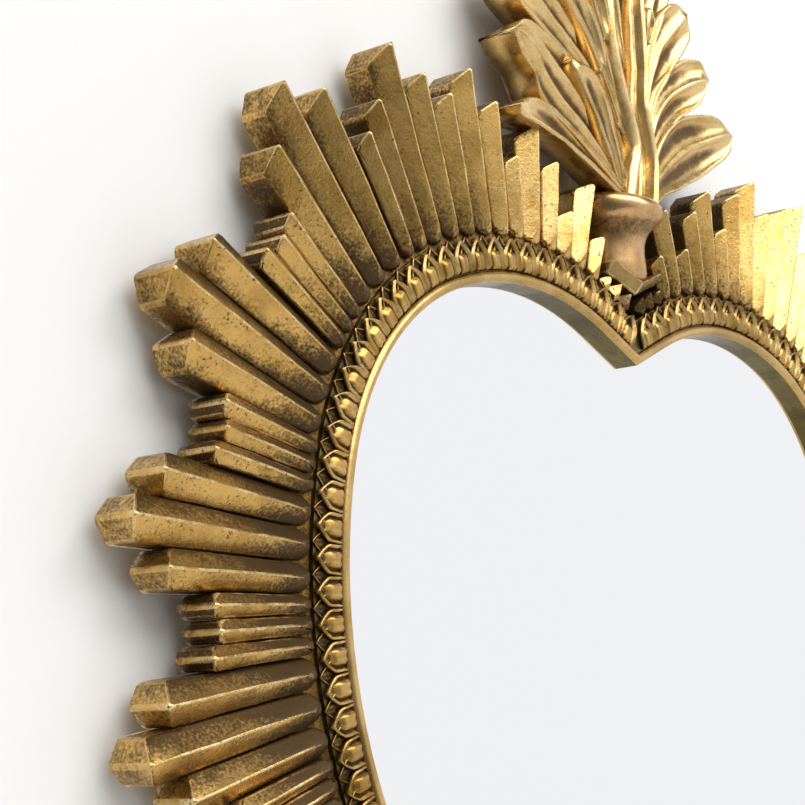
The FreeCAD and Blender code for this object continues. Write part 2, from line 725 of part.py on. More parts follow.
# Screws: pan heads with a cross recess, driven from behind.
def screw(x, z, seat_depth, long):
    head_thick = size("screw_head_thick")
    head = Part.makeCylinder(size("screw_head"), head_thick, V(x, -seat_depth + head_thick, z), V(0, -1, 0))
    rim_edges = [e for e in head.Edges if abs(e.BoundBox.YMin - (-seat_depth + head_thick)) < 1e-6]
    head = head.makeChamfer(0.5 * head_thick, rim_edges)
    for wide, tall in ((0.8, 3), (3, 0.8)):
        corner = V(x - wide / 2, -seat_depth + head_thick - 0.7, z - tall / 2)
        head = head.cut(Part.makeBox(wide, 2, tall, corner))
    radius = size("screw_radius")
    shank = Part.makeCylinder(radius, long - 2, V(x, -seat_depth, z), V(0, -1, 0))
    point = Part.makeCone(radius, 0.3, 2, V(x, -seat_depth - long + 2, z), V(0, -1, 0))
    return head.fuse([shank, point]).removeSplitter().Solids[0]


board_screws = [screw(x, z, BOARD_REAR, size("board_screw_long")) for x, z in board_screw_places]
NODES.append(plain("board_screws", Part.Compound(board_screws)))
strap_rear = REAR - size("strap_thick")
hanger_screws = [screw(x, z, strap_rear, size("flange_thick") + 0.6) for x, z in hanger_screw_places]
NODES.append(plain("hanger_screws", Part.Compound(hanger_screws)))
finial_screws = [screw(x, z, REAR, size("flange_thick") + screw_reach - 0.5) for x, z in finial_screw_places]
NODES.append(plain("finial_screws", Part.Compound(finial_screws)))

# Hangers: on each side a steel strap folded round the straight bar of a wire ring.
barrel_in = size("wire_radius") + size("wire_gap")
barrel_out = barrel_in + size("strap_thick")
pivot = REAR - barrel_out
strap_end = -size("strap_long")
meet = math.sqrt(barrel_out ** 2 - (barrel_out - size("strap_thick")) ** 2)
for side, word in ((-1, "left"), (1, "right")):
    strap = new_body("hanger_strap_" + word)
    sketch = strap.newObject("Sketcher::SketchObject", "strap_profile_" + word)
    sketch.AttachmentSupport = [(plane_of(strap, "YZ_Plane"), "")]
    sketch.MapMode = "FlatFace"
    sketch.setExpression(".AttachmentOffset.Base.z", "%.6f - Sizes.strap_wide / 2" % (side * hanger_reach))
    hinge = V(-pivot, 0, 0)
    roll = Part.Circle(hinge, V(0, 0, 1), barrel_out)
    roll_end = math.atan2(-meet, -(barrel_out - size("strap_thick")))
    fold = Part.ArcOfCircle(roll, roll_end, math.pi)
    start = V(-pivot - barrel_out + size("strap_thick"), -meet, 0)
    sketch.addGeometry([
        fold,
        Part.LineSegment(V(-REAR, 0, 0), V(-REAR, strap_end, 0)),
        Part.LineSegment(V(-REAR, strap_end, 0), V(-strap_rear, strap_end, 0)),
        Part.LineSegment(V(-strap_rear, strap_end, 0), start),
        Part.Circle(hinge, V(0, 0, 1), barrel_in),
    ], False)
    folded = strap.newObject("PartDesign::Pad", "folded_strip_" + word)
    folded.Profile = sketch
    folded.setExpression("Length", "Sizes.strap_wide")
    places = [place for place in hanger_screw_places if place[0] * side > 0]
    pocket(strap, "strap_holes_" + word, circles(places, size("screw_hole")),
           "Sizes.stand_off + 1", "Sizes.strap_thick + 1.5")
    NODES.append(strap)

    wire = size("wire_radius")
    arm = size("ring_inside") / 2 + wire
    drop = size("ring_drop")
    corner = 2.5
    reach = side * hanger_reach

    def at(px, pz):
        return V(reach + px, -pivot, pz)

    bend = corner * (1 - math.sqrt(0.5))
    loop = [
        Part.makeLine(at(0, 0), at(arm - corner, 0)),
        Part.Arc(at(arm - corner, 0), at(arm - bend, -bend), at(arm, -corner)).toShape(),
        Part.makeLine(at(arm, -corner), at(arm, arm - drop)),
        Part.Arc(at(arm, arm - drop), at(0, -drop), at(-arm, arm - drop)).toShape(),
        Part.makeLine(at(-arm, arm - drop), at(-arm, -corner)),
        Part.Arc(at(-arm, -corner), at(-arm + bend, -bend), at(-arm + corner, 0)).toShape(),
        Part.makeLine(at(-arm + corner, 0), at(0, 0)),
    ]
    outline = Part.Wire(Part.makeCircle(wire, at(0, 0), V(1, 0, 0)))
    ring = Part.Wire(loop).makePipeShell([outline], True, False)
    NODES.append(plain("hanger_ring_" + word, ring))

# Wall bumpers: soft round pads low on the back that hold the frame off the wall.
bump_x, bump_z = heart_off(0.72 * HALF_LENGTH, 0.5 * (size("board_rebate") + size("flange_out")))
for side, word in ((-1, "left"), (1, "right")):
    bumper = new_body("wall_bumper_" + word)
    disc = pad(bumper, "bumper_disc_" + word, circles([(-side * bump_x, bump_z)], size("bumper_radius")),
               "0 * Sizes.stand_off", "Sizes.stand_off")
    doc.recompute()
    rims = []
    for number, item in enumerate(disc.Shape.Edges, start=1):
        if item.BoundBox.YMin > -1e-4:
            rims.append("Edge%d" % number)
    rounded = bumper.newObject("PartDesign::Fillet", "bumper_edge_" + word)
    rounded.Base = (disc, rims)
    rounded.setExpression("Radius", "Sizes.bumper_round")
    NODES.append(bumper)

doc.recompute()

for item in doc.Objects:
    if "Invalid" in item.State or "Error" in item.State:
        raise RuntimeError("%s did not build: %s" % (item.Label, item.State))
os.makedirs("parts", exist_ok=True)
for node in NODES:
    shape = node.Shape
    if shape.isNull() or not shape.isValid() or not shape.Solids:
        raise RuntimeError("%s has no valid solid" % node.Label)
    shape.exportStep("parts/%s.step" % node.Label)
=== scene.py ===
import math

import bmesh
import bpy
from mathutils import Matrix, Vector, bvhtree, kdtree, noise


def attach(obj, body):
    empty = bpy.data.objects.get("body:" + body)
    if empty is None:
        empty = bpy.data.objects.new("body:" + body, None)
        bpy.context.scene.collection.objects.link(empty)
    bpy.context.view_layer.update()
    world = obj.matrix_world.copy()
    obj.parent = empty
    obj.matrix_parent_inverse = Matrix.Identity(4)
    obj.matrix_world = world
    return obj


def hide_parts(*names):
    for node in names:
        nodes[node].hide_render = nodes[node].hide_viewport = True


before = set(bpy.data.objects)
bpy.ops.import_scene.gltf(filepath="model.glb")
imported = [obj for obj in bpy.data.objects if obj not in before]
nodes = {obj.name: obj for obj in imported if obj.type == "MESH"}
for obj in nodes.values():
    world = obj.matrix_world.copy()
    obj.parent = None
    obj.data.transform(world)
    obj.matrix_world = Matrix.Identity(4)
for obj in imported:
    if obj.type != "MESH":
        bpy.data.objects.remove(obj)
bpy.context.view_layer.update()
MM = 0.001


# Frame core: the cast resin ring that carries every other piece, with the lip round the glass.
# It is sealed, laid with gold leaf on a brown ground and rubbed back. The finish below puts bright
# leaf and painted highlights on what stands proud, and brown wash and painted shade in the recesses.
def add(tree, kind, sockets=None, **settings):
    made = tree.nodes.new(kind)
    for name, value in settings.items():
        setattr(made, name, value)
    for key, value in (sockets or {}).items():
        if isinstance(value, bpy.types.NodeSocket):
            tree.links.new(value, made.inputs[key])
        else:
            made.inputs[key].default_value = value
    return made


def maths(tree, operation, first, second=0.0, third=0.0, clamp=False):
    made = add(tree, "ShaderNodeMath", {0: first, 1: second, 2: third},
               operation=operation, use_clamp=clamp)
    return made.outputs[0]


def step_up(tree, value, low, high):
    made = add(tree, "ShaderNodeMapRange", {"Value": value, "From Min": low, "From Max": high},
               interpolation_type="SMOOTHSTEP")
    return made.outputs["Result"]


def mix_colour(tree, share, first, second):
    made = add(tree, "ShaderNodeMix", {0: share, 6: first, 7: second}, data_type="RGBA")
    return made.outputs[2]


def grain(tree, scale, detail, place=None):
    if place is None:
        place = add(tree, "ShaderNodeTexCoord").outputs["Object"]
    made = add(tree, "ShaderNodeTexNoise", {"Vector": place, "Scale": scale, "Detail": detail,
                                            "Roughness": 0.6})
    return made.outputs[0]


# the grain of the old gilding, to the metre: clouds in the tone, worn patches and fine flecks
CLOUDS = 38
PATCHES = 160
FLECKS = 900


def build_gilding():
    group = bpy.data.node_groups.new("gilding_with_painted_light", "ShaderNodeTree")
    face = group.interface
    for name, kind, value in [
        ("Leaf", "NodeSocketColor", (0.6, 0.4, 0.15, 1)),
        ("Toned leaf", "NodeSocketColor", (0.4, 0.25, 0.08, 1)),
        ("Wash", "NodeSocketColor", (0.06, 0.035, 0.012, 1)),
        ("Rubbed leaf", "NodeSocketColor", (0.8, 0.6, 0.3, 1)),
        ("Recess", "NodeSocketFloat", 0.0),
        ("Rubbed", "NodeSocketFloat", 0.0),
        ("Specks", "NodeSocketFloat", 0.5),
        ("Polish", "NodeSocketFloat", 0.3),
    ]:
        socket = face.new_socket(name, in_out="INPUT", socket_type=kind)
        socket.default_value = value
    for name, kind in [("Colour", "NodeSocketColor"), ("Roughness", "NodeSocketFloat"),
                       ("Metal", "NodeSocketFloat"), ("Height", "NodeSocketFloat")]:
        face.new_socket(name, in_out="OUTPUT", socket_type=kind)
    given = group.nodes.new("NodeGroupInput").outputs
    broad = grain(group, CLOUDS, 3)
    patchy = grain(group, PATCHES, 4)
    fine = grain(group, FLECKS, 3)
    lift = maths(group, "MULTIPLY", maths(group, "SUBTRACT", patchy, 0.5), 0.55)
    # the darkening mixes the leaf towards the dark colour, which is the wash left in recesses together
    # with painted shade; the brightening mixes it towards the bright leaf, which is wear together with
    # painted highlight
    low = maths(group, "ADD", maths(group, "SUBTRACT", given["Recess"], given["Rubbed"]), lift)
    fleck = maths(group, "MULTIPLY", maths(group, "SUBTRACT", fine, 0.5), given["Specks"])
    low = maths(group, "ADD", low, fleck)
    shaded_and_washed = step_up(group, low, 0.34, 0.86)
    flecks = maths(group, "MULTIPLY", step_up(group, fine, 0.56, 0.68), step_up(group, patchy, 0.42, 0.62))
    speckled = maths(group, "MULTIPLY", flecks, given["Specks"])
    dark = maths(group, "MAXIMUM", shaded_and_washed, speckled, clamp=True)
    tone = step_up(group, maths(group, "ADD", broad, maths(group, "MULTIPLY", fleck, 0.3)), 0.36, 0.66)
    leaf = mix_colour(group, tone, given["Leaf"], given["Toned leaf"])
    lit_and_bared = maths(group, "MULTIPLY", given["Rubbed"], step_up(group, patchy, 0.36, 0.62))
    leaf = mix_colour(group, lit_and_bared, leaf, given["Rubbed leaf"])
    colour = mix_colour(group, dark, leaf, given["Wash"])
    dull = maths(group, "MULTIPLY_ADD", dark, 0.22, given["Polish"])
    rough = maths(group, "MULTIPLY_ADD", patchy, 0.18, dull)
    metal = maths(group, "SUBTRACT", 1.0, maths(group, "MULTIPLY", dark, 0.3))
    metal = maths(group, "SUBTRACT", metal, maths(group, "MULTIPLY", lit_and_bared, 0.45), clamp=True)
    height = maths(group, "SUBTRACT", maths(group, "ADD", fine, maths(group, "MULTIPLY", patchy, 1.5)),
                   maths(group, "MULTIPLY", dark, 0.6))
    out = add(group, "NodeGroupOutput")
    for socket, value in (("Colour", colour), ("Roughness", rough), ("Metal", metal), ("Height", height)):
        group.links.new(value, out.inputs[socket])
    return group


gilding = build_gilding()

# a thin lacquer lies over all the leaf
LACQUER = 0.12
LACQUER_DULL = 0.3


def new_finish(name):
    made = bpy.data.materials.new(name)
    made.use_nodes = True
    return made, made.node_tree, made.node_tree.nodes["Principled BSDF"]


def dent(tree, shader, height, strength, deep):
    made = add(tree, "ShaderNodeBump", {"Strength": strength, "Distance": deep, "Height": height})
    tree.links.new(made.outputs["Normal"], shader.inputs["Normal"])


def gilt(name, leaf, toned, dark_colour, highlight_and_wear, specks, polish, bump, shade_and_wash=0.0):
    made, tree, shader = new_finish(name)
    # one attribute carries the wash with painted shade, the other the wear with painted highlight
    darkened = add(tree, "ShaderNodeAttribute", attribute_name="shade_and_wash").outputs["Fac"]
    brightened = add(tree, "ShaderNodeAttribute", attribute_name="highlight_and_wear").outputs["Fac"]
    worn_and_lit = add(tree, "ShaderNodeGroup", {
        "Leaf": (*leaf, 1),
        "Toned leaf": (*toned, 1),
        "Wash": (*dark_colour, 1),
        "Rubbed leaf": (*highlight_and_wear, 1),
        "Recess": maths(tree, "ADD", darkened, shade_and_wash),
        "Rubbed": brightened,
        "Specks": specks,
        "Polish": polish,
    }, node_tree=gilding).outputs
    tree.links.new(worn_and_lit["Colour"], shader.inputs["Base Color"])
    tree.links.new(worn_and_lit["Roughness"], shader.inputs["Roughness"])
    tree.links.new(worn_and_lit["Metal"], shader.inputs["Metallic"])
    shader.inputs["Coat Weight"].default_value = LACQUER
    shader.inputs["Coat Roughness"].default_value = LACQUER_DULL
    dent(tree, shader, worn_and_lit["Height"], strength=bump, deep=0.4 * MM)
    return made


def paint(obj, material):
    obj.data.materials.clear()
    obj.data.materials.append(material)


# leaf colours of the gilding: the wash colour also paints shade, and the rubbed colour also paints
# highlights
LEAF = (0.54, 0.325, 0.088)
TONED = (0.36, 0.200, 0.040)
WASH_AND_SHADE = (0.050, 0.027, 0.006)
WORN_AND_LIT_LEAF = (0.86, 0.66, 0.34)
# the core's leaf colours are dark olive-brown with a uniform darkening on top: painted shade for its inner
# wall and back
core_gilt = gilt("core_gilding", (0.21, 0.165, 0.062), (0.125, 0.095, 0.032), (0.036, 0.029, 0.010),
                 WORN_AND_LIT_LEAF, specks=0.3, polish=0.24, bump=0.2, shade_and_wash=0.45)
paint(nodes["frame_core"], core_gilt)

# Lip bead: a half-round run of composition pressed along the edge of the lip, mitred at the cusp.
# It is the part that hands and dusters touch, so its leaf is bright, with little wash left on it.
bead_gilt = gilt("bead_gilding", (0.64, 0.43, 0.17), (0.46, 0.29, 0.09), WASH_AND_SHADE, WORN_AND_LIT_LEAF,
                 specks=0.4, polish=0.2, bump=0.12)
paint(nodes["lip_bead"], bead_gilt)

# Tongue band: a run of lancet tongues with thin raised rims, each round an egg, pressed in
# composition and set side by side along the heart line from one side of the cusp to the other.
CUSP_HEIGHT = 70 * MM
CUSP_SLOPE = math.radians(24)
FLANK = 22 * MM
ARCS = [(140 * MM, math.radians(44)), (108 * MM, math.radians(56)), (186 * MM, math.radians(54))]
TIP_RADIUS = 26 * MM


def heart_half(spacing):
    # the left half of the heart line, from the cusp to the point, as (x, z, heading) stations
    x, z = 0.0, CUSP_HEIGHT
    heading = math.pi - CUSP_SLOPE
    stations = []

    def run(length, turn):
        nonlocal x, z, heading
        count = max(2, round(length / spacing))
        for index in range(count):
            stations.append((x, z, heading))
            heading += turn / count / 2
            x += length / count * math.cos(heading)
            z += length / count * math.sin(heading)
            heading += turn / count / 2

    run(FLANK, 0)
    for radius, turn in ARCS:
        run(radius * turn, turn)
    run(-(x - TIP_RADIUS * math.sin(heading)) / math.cos(heading), 0)
    run(TIP_RADIUS * (2 * math.pi - heading), 2 * math.pi - heading)
    stations.append((x, z, heading))
    return stations


HEART_STEP = 1 * MM
HEART = heart_half(HEART_STEP)
TONGUES = 122
TONGUE_START = 3.2 * MM
BAND_DEPTH = 20 * MM
BAND_STEP = 0.25 * MM
# one tongue in millimetres, from its place on the heart line
TONGUE_HALF = 5.15
TONGUE_APEX = 7.8
UNDER_APEX = 8.9
TONGUE_SHOULDER = 1.6
TONGUE_UNDER = -0.4
# each row of a tongue, going outward: its place, and how full the egg and the rim are there
TONGUE_ROWS = [(-4.4, 0.15, 0.1), (-3.9, 0.7, 0.65), (-2.9, 1.0, 1.0), (0.8, 1.0, 1.0),
               (2.2, 0.9, 1.0), (3.2, 0.1, 1.0), (5.2, 0.0, 1.0), (6.7, 0.0, 1.0)]
# each column of a tongue, from the rim in to the egg: its place, height, wash with painted shade, and
# rubbing with painted highlight
RIM = [(1.0, 1.0, 0.9, 0), (0.88, 2.9, 0.35, 0.9), (0.74, 0.7, 0.75, 0)]
EGG = [(0.6, 0.4, 1.0, 0), (0.5, 2.0, 0.5, 0), (0.27, 2.7, 0.05, 0.5), (0.0, 2.3, 0.25, 0)]
EGG_GROUND = 0.2


def piece(name, mesh, material, *stands_for):
    made = bpy.data.objects.new(name, mesh)
    bpy.context.scene.collection.objects.link(made)
    paint(made, material)
    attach(made, "mirror")
    if stands_for:
        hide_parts(*stands_for)


def store(mesh, shade_and_wash, highlight_and_wear, kind="POINT"):
    # how much wash and painted shade lies at each spot of the piece, and how much wear and painted
    # highlight its leaf shows
    for name, values in (("shade_and_wash", shade_and_wash), ("highlight_and_wear", highlight_and_wear)):
        layer = mesh.attributes.new(name, "FLOAT", kind)
        layer.data.foreach_set("value", values)


def outward(mesh):
    shape = bmesh.new()
    shape.from_mesh(mesh)
    bmesh.ops.recalc_face_normals(shape, faces=shape.faces)
    shape.to_mesh(mesh)
    shape.free()
    return mesh


def tongue_mesh(apex, stands, egg_full, bright):
    # wash with painted shade lies on the feet, the under side and where the egg thins out; wear with a
    # painted highlight lies on the rim crest and egg top
    points, faces, shade_and_wash, highlight_and_wear = [], [], [], []

    def point(x, y, z, darkened, brightened):
        points.append((x * MM, y * MM, (z * stands if z > 0 else z) * MM))
        shade_and_wash.append(darkened)
        highlight_and_wear.append(brightened * bright)
        return len(points) - 1

    def column(side, place, height, darkened, brightened):
        # one spot of the rim or the egg, in the row at hand
        if place > EGG[0][0]:
            height, brightened = height * leg, brightened * leg
        else:
            height = EGG_GROUND + (height - EGG_GROUND) * egg
            darkened, brightened = darkened + 0.6 * (1 - egg), brightened * egg
        return point(side * place * half, out, height, darkened + 0.4 * (1 - leg), brightened)

    rows = []
    for out, egg, leg in TONGUE_ROWS:
        out += max(0.0, out) * (apex / TONGUE_APEX - 1)
        egg *= egg_full
        taper = max(0.0, (out - TONGUE_SHOULDER) / (apex - TONGUE_SHOULDER))
        half = TONGUE_HALF * (1 - taper ** 1.5)
        row = [point(-half, out, TONGUE_UNDER, 1.0, 0)]
        row += [column(-1, *spot) for spot in RIM + EGG]
        row += [column(1, *spot) for spot in reversed(RIM + EGG[:-1])]
        row.append(point(half, out, TONGUE_UNDER, 1.0, 0))
        rows.append(row)
    for low, high in zip(rows, rows[1:]):
        for i in range(len(low) - 1):
            faces.append((low[i], low[i + 1], high[i + 1], high[i]))
    tip = point(0, apex, RIM[1][1], 0.3, 0.9)
    foot = point(0, apex + 0.1, TONGUE_UNDER, 1.0, 0)
    last = rows[-1]
    for i in range(1, len(last) - 2):
        faces.append((last[i], last[i + 1], tip))
    faces.append((last[0], last[1], tip, foot))
    faces.append((last[-2], last[-1], foot, tip))
    faces.append(tuple(reversed(rows[0])))
    faces.append(tuple([row[0] for row in rows] + [foot] + [row[-1] for row in reversed(rows)]))
    mesh = bpy.data.meshes.new("tongue")
    mesh.from_pydata(points, [], faces)
    store(mesh, shade_and_wash, highlight_and_wear)
    mesh.shade_smooth()
    return outward(mesh)


def band_tree():
    tree = bpy.data.node_groups.new("set_along_heart", "GeometryNodeTree")
    face = tree.interface
    face.new_socket("Heart line", in_out="INPUT", socket_type="NodeSocketGeometry")
    face.new_socket("Unit", in_out="INPUT", socket_type="NodeSocketObject")
    face.new_socket("Count", in_out="INPUT", socket_type="NodeSocketInt")
    face.new_socket("Finish", in_out="INPUT", socket_type="NodeSocketMaterial")
    face.new_socket("Band", in_out="OUTPUT", socket_type="NodeSocketGeometry")
    given = tree.nodes.new("NodeGroupInput").outputs
    line = add(tree, "GeometryNodeMeshToCurve", {"Mesh": given["Heart line"]}).outputs[0]
    even = add(tree, "GeometryNodeResampleCurve", {"Curve": line, "Count": given["Count"]}).outputs[0]
    along = add(tree, "GeometryNodeInputTangent").outputs[0]
    against = add(tree, "ShaderNodeVectorMath", {0: along, "Scale": -1.0}, operation="SCALE").outputs[0]
    facing = add(tree, "FunctionNodeAlignRotationToVector", {"Vector": (0, -1, 0)}, axis="Z")
    turned = add(tree, "FunctionNodeAlignRotationToVector",
                 {"Rotation": facing.outputs[0], "Vector": against}, axis="X", pivot_axis="Z")
    unit = add(tree, "GeometryNodeObjectInfo", {"Object": given["Unit"]}).outputs["Geometry"]
    placed = add(tree, "GeometryNodeInstanceOnPoints", {"Points": even, "Instance": unit,
                                                        "Rotation": turned.outputs[0]}).outputs[0]
    real = add(tree, "GeometryNodeRealizeInstances", {"Geometry": placed}).outputs[0]
    painted = add(tree, "GeometryNodeSetMaterial", {"Geometry": real, "Material": given["Finish"]})
    out = tree.nodes.new("NodeGroupOutput")
    tree.links.new(painted.outputs[0], out.inputs[0])
    return tree


def made_plain(name, source, tree, inputs):
    # sets the units out along their line, and keeps the whole run as one mesh
    holder = bpy.data.objects.new(name + "_holder", source)
    bpy.context.scene.collection.objects.link(holder)
    modifier = holder.modifiers.new("nodes", "NODES")
    modifier.node_group = tree
    for item in tree.interface.items_tree:
        if item.in_out == "INPUT" and item.name in inputs:
            modifier[item.identifier] = inputs[item.name]
    bpy.context.view_layer.update()
    seen = holder.evaluated_get(bpy.context.evaluated_depsgraph_get())
    mesh = bpy.data.meshes.new_from_object(seen)
    mesh.name = name
    holder.modifiers.remove(modifier)
    bpy.data.objects.remove(holder)
    return mesh


def joined(name, meshes):
    shape = bmesh.new()
    for mesh in meshes:
        shape.from_mesh(mesh)
    made = bpy.data.meshes.new(name)
    shape.to_mesh(made)
    shape.free()
    return made


def trimmed(stations, start):
    # drops the first stretch of the heart line, up to a distance from the cusp
    gone = 0.0
    for index in range(1, len(stations)):
        (last_x, last_z, _), (x, z, _) = stations[index - 1:index + 1]
        gone += math.hypot(x - last_x, z - last_z)
        if gone >= start:
            return stations[index:]


band_gilt = gilt("band_gilding", LEAF, TONED, WASH_AND_SHADE, (0.78, 0.55, 0.24), specks=0.6, polish=0.22, bump=0.2)
half_length = sum(math.hypot(b[0] - a[0], b[1] - a[1]) for a, b in zip(HEART, HEART[1:]))
pitch = 2 * (half_length - TONGUE_START) / TONGUES
rows_of_tongues = []
set_along_heart = band_tree()
for label, mesh, start, count in [
    ("upper", tongue_mesh(TONGUE_APEX, stands=1.0, egg_full=1.0, bright=1.0),
     TONGUE_START + pitch / 2, TONGUES),
    ("under", tongue_mesh(UNDER_APEX, stands=0.35, egg_full=0.0, bright=0.25),
     TONGUE_START + pitch, TONGUES - 1),
]:
    unit = bpy.data.objects.new(label + "_tongue", mesh)
    path = [(x, -BAND_DEPTH, z) for x, z, heading in trimmed(heart_half(BAND_STEP), start)]
    path += [(-x, y, z) for x, y, z in reversed(path[:-1])]
    line = bpy.data.meshes.new(label + "_line")
    line.from_pydata(path, [(i, i + 1) for i in range(len(path) - 1)], [])
    rows_of_tongues.append(made_plain(label + "_tongues", line, set_along_heart,
                                      {"Unit": unit, "Count": count, "Finish": band_gilt}))
    bpy.data.objects.remove(unit)
piece("tongue_band_gilt", joined("tongue_band_gilt", rows_of_tongues), band_gilt, "tongue_band_left",
      "tongue_band_right")

# Sun rays: bars of crystal section cast with the frame in groups, each with a ridge down its
# middle and a pointed end. Casting has softened their edges and left their faces a little uneven.
RAY_ROOT = 8.4 * MM
RAY_CREST = 22.4 * MM
RAY_RISE = 0.02
RAY_BACK = 10.2 * MM
RAY_SHORT = 20 * MM
RAY_VALLEY = 7 * MM
RAY_HIP = 8 * MM
RAY_FILL = 2.5 * MM
RAY_WAVE = 0.3 * MM
RAY_WAVE_LENGTH = 13 * MM
RAY_EDGE = 0.55 * MM
RAY_CORNER = 1.8 * MM
RAY_SHARP = 20
RAY_STEP = 9 * MM
# the centres of a painted pool of light on the crown, right of the axis and above the cusp
LIGHT_POOL_LEFT = (-25 * MM, 20 * MM)
LIGHT_POOL_RIGHT = (150 * MM, 45 * MM)
# which of many like castings this is: it fixes how the faces of rays and leaves wander
CASTING = 3
noise.seed_set(CASTING)
ray_gilt = gilt("ray_gilding", (0.67, 0.42, 0.130), (0.45, 0.265, 0.065), (0.085, 0.046, 0.012),
                (0.85, 0.64, 0.31), specks=1.0, polish=0.17, bump=0.3)

heart_tree = kdtree.KDTree(2 * len(HEART))
for index, (x, z, heading) in enumerate(HEART):
    heart_tree.insert((x, 0, z), 2 * index)
    heart_tree.insert((-x, 0, z), 2 * index + 1)
heart_tree.balance()


def from_heart(point):
    # how far outward from the heart line a point lies, seen from the front
    near, index, distance = heart_tree.find((point.x, 0, point.z))
    heading = HEART[index // 2][2]
    side = 1 if index % 2 == 0 else -1
    outside = (point.x - near.x) * math.sin(heading) * side - (point.z - near.z) * math.cos(heading)
    return distance if outside >= 0 else -distance


def merged(name):
    # the solid of a piece, with its flat faces whole
    shape = bmesh.new()
    shape.from_mesh(nodes[name].data)
    bmesh.ops.remove_doubles(shape, verts=shape.verts, dist=0.005 * MM)
    bmesh.ops.dissolve_limit(shape, angle_limit=math.radians(0.5), verts=shape.verts, edges=shape.edges)
    return shape


def sharp(shape, angle):
    return [e for e in shape.edges if e.is_manifold and e.calc_face_angle() > math.radians(angle)]


def soften(shape, edges, width, steps=2):
    # rounds edges off within the old skin, and gives the new faces along them
    skin = bvhtree.BVHTree.FromBMesh(shape)
    made = bmesh.ops.bevel(shape, geom=edges, offset=width, offset_type="OFFSET", segments=steps,
                           profile=0.6, affect="EDGES", clamp_overlap=False)
    for vertex in shape.verts:
        place, facing, index, distance = skin.find_nearest(vertex.co)
        if (vertex.co - place).dot(facing) > 0.01 * MM:
            vertex.co = place
    return set(made["faces"])


def separate_rays(shape):
    shape.verts.index_update()
    left = set(shape.verts)
    while left:
        ray, edge = set(), [left.pop()]
        while edge:
            vertex = edge.pop()
            ray.add(vertex)
            near = {e.other_vert(vertex) for e in vertex.link_edges} & left
            left -= near
            edge.extend(near)
        yield sorted(ray, key=lambda vertex: vertex.index)


def fill_root(ray):
    # the casting fills most of the corners beside a ray's root
    away = {vertex: from_heart(vertex.co) for vertex in ray}
    near, far = min(ray, key=away.get), max(ray, key=away.get)
    if away[far] - away[near] < RAY_SHORT:
        return
    axis = Vector((far.co.x - near.co.x, 0, far.co.z - near.co.z)).normalized()
    across = Vector((axis.z, 0, -axis.x))
    root = near.co.copy()
    for vertex in ray:
        along, aside = (vertex.co - root).dot(axis), (vertex.co - root).dot(across)
        if RAY_FILL < along < RAY_HIP and abs(aside) > 1.5 * MM:
            vertex.co -= axis * (along - RAY_FILL) + across * 0.04 * aside


def crisp_facets(shape):
    # keeps the broad faces flat right up to their rounded edges
    for face in shape.faces:
        face.smooth = True
    for edge in shape.edges:
        areas = sorted(f.calc_area() for f in edge.link_faces)
        turn = edge.calc_face_angle(0.0)
        edge.smooth = turn < math.radians(4) or (areas[0] > 0.4 * areas[-1] and turn < math.radians(30))


def beside_cusp(point):
    # the small stubs under the finial, whose edges were left sharp
    return abs(point.x) < 22.5 * MM and 0 < point.z - CUSP_HEIGHT < 24 * MM


def eased(value, low, high):
    share = max(0.0, min(1.0, (value - low) / (high - low)))
    return share * share * (3 - 2 * share)


def painted_light_pool(point):
    # a painted pool of light on the crown, left of the finial and out on the right lobe: 0 elsewhere
    def off(centre):
        return math.hypot(point.x - centre[0], point.z - CUSP_HEIGHT - centre[1])

    left = 1 - eased(off(LIGHT_POOL_LEFT), 25 * MM, 95 * MM)
    right = 1 - eased(off(LIGHT_POOL_RIGHT), 30 * MM, 60 * MM)
    return max(left * (1 - eased(point.x, -26 * MM, -6 * MM)), 0.6 * right)


def below_crest(point):
    # 0 on the ridge of a ray, 1 down in the valley beside it
    crest = RAY_CREST + RAY_RISE * (from_heart(point) - RAY_ROOT)
    return max(0.0, min(1.0, (crest + point.y) / RAY_VALLEY))


def ray_shade_and_wash(point, facing):
    # painted shade on the end faces, most on the short stubs, and on the faces that look up; wash with
    # painted shade in the valleys and at the roots; less of all of it under the painted pool of light
    low = below_crest(point)
    root = max(0.0, min(1.0, 1 - (from_heart(point) - RAY_ROOT) / (42 * MM)))
    if facing.y > -0.45:
        return 0.44 + 0.15 * low + 0.3 * (1 - eased(from_heart(point), 52 * MM, 80 * MM))
    upper = 0.4 * eased(facing.z, 0.1, 0.5)
    pooled = (0.8 - 0.35 * eased(point.z, 60 * MM, 120 * MM)) * root ** 1.2
    return (0.14 + upper + 0.7 * low ** 2.2 + pooled) * (1 - 0.6 * painted_light_pool(point))


def ray_corners(shape):
    return [e for e in sharp(shape, RAY_SHARP) if not beside_cusp(e.verts[0].co)]


def upright(edge):
    return abs((edge.verts[0].co - edge.verts[1].co).normalized().y) > 0.9


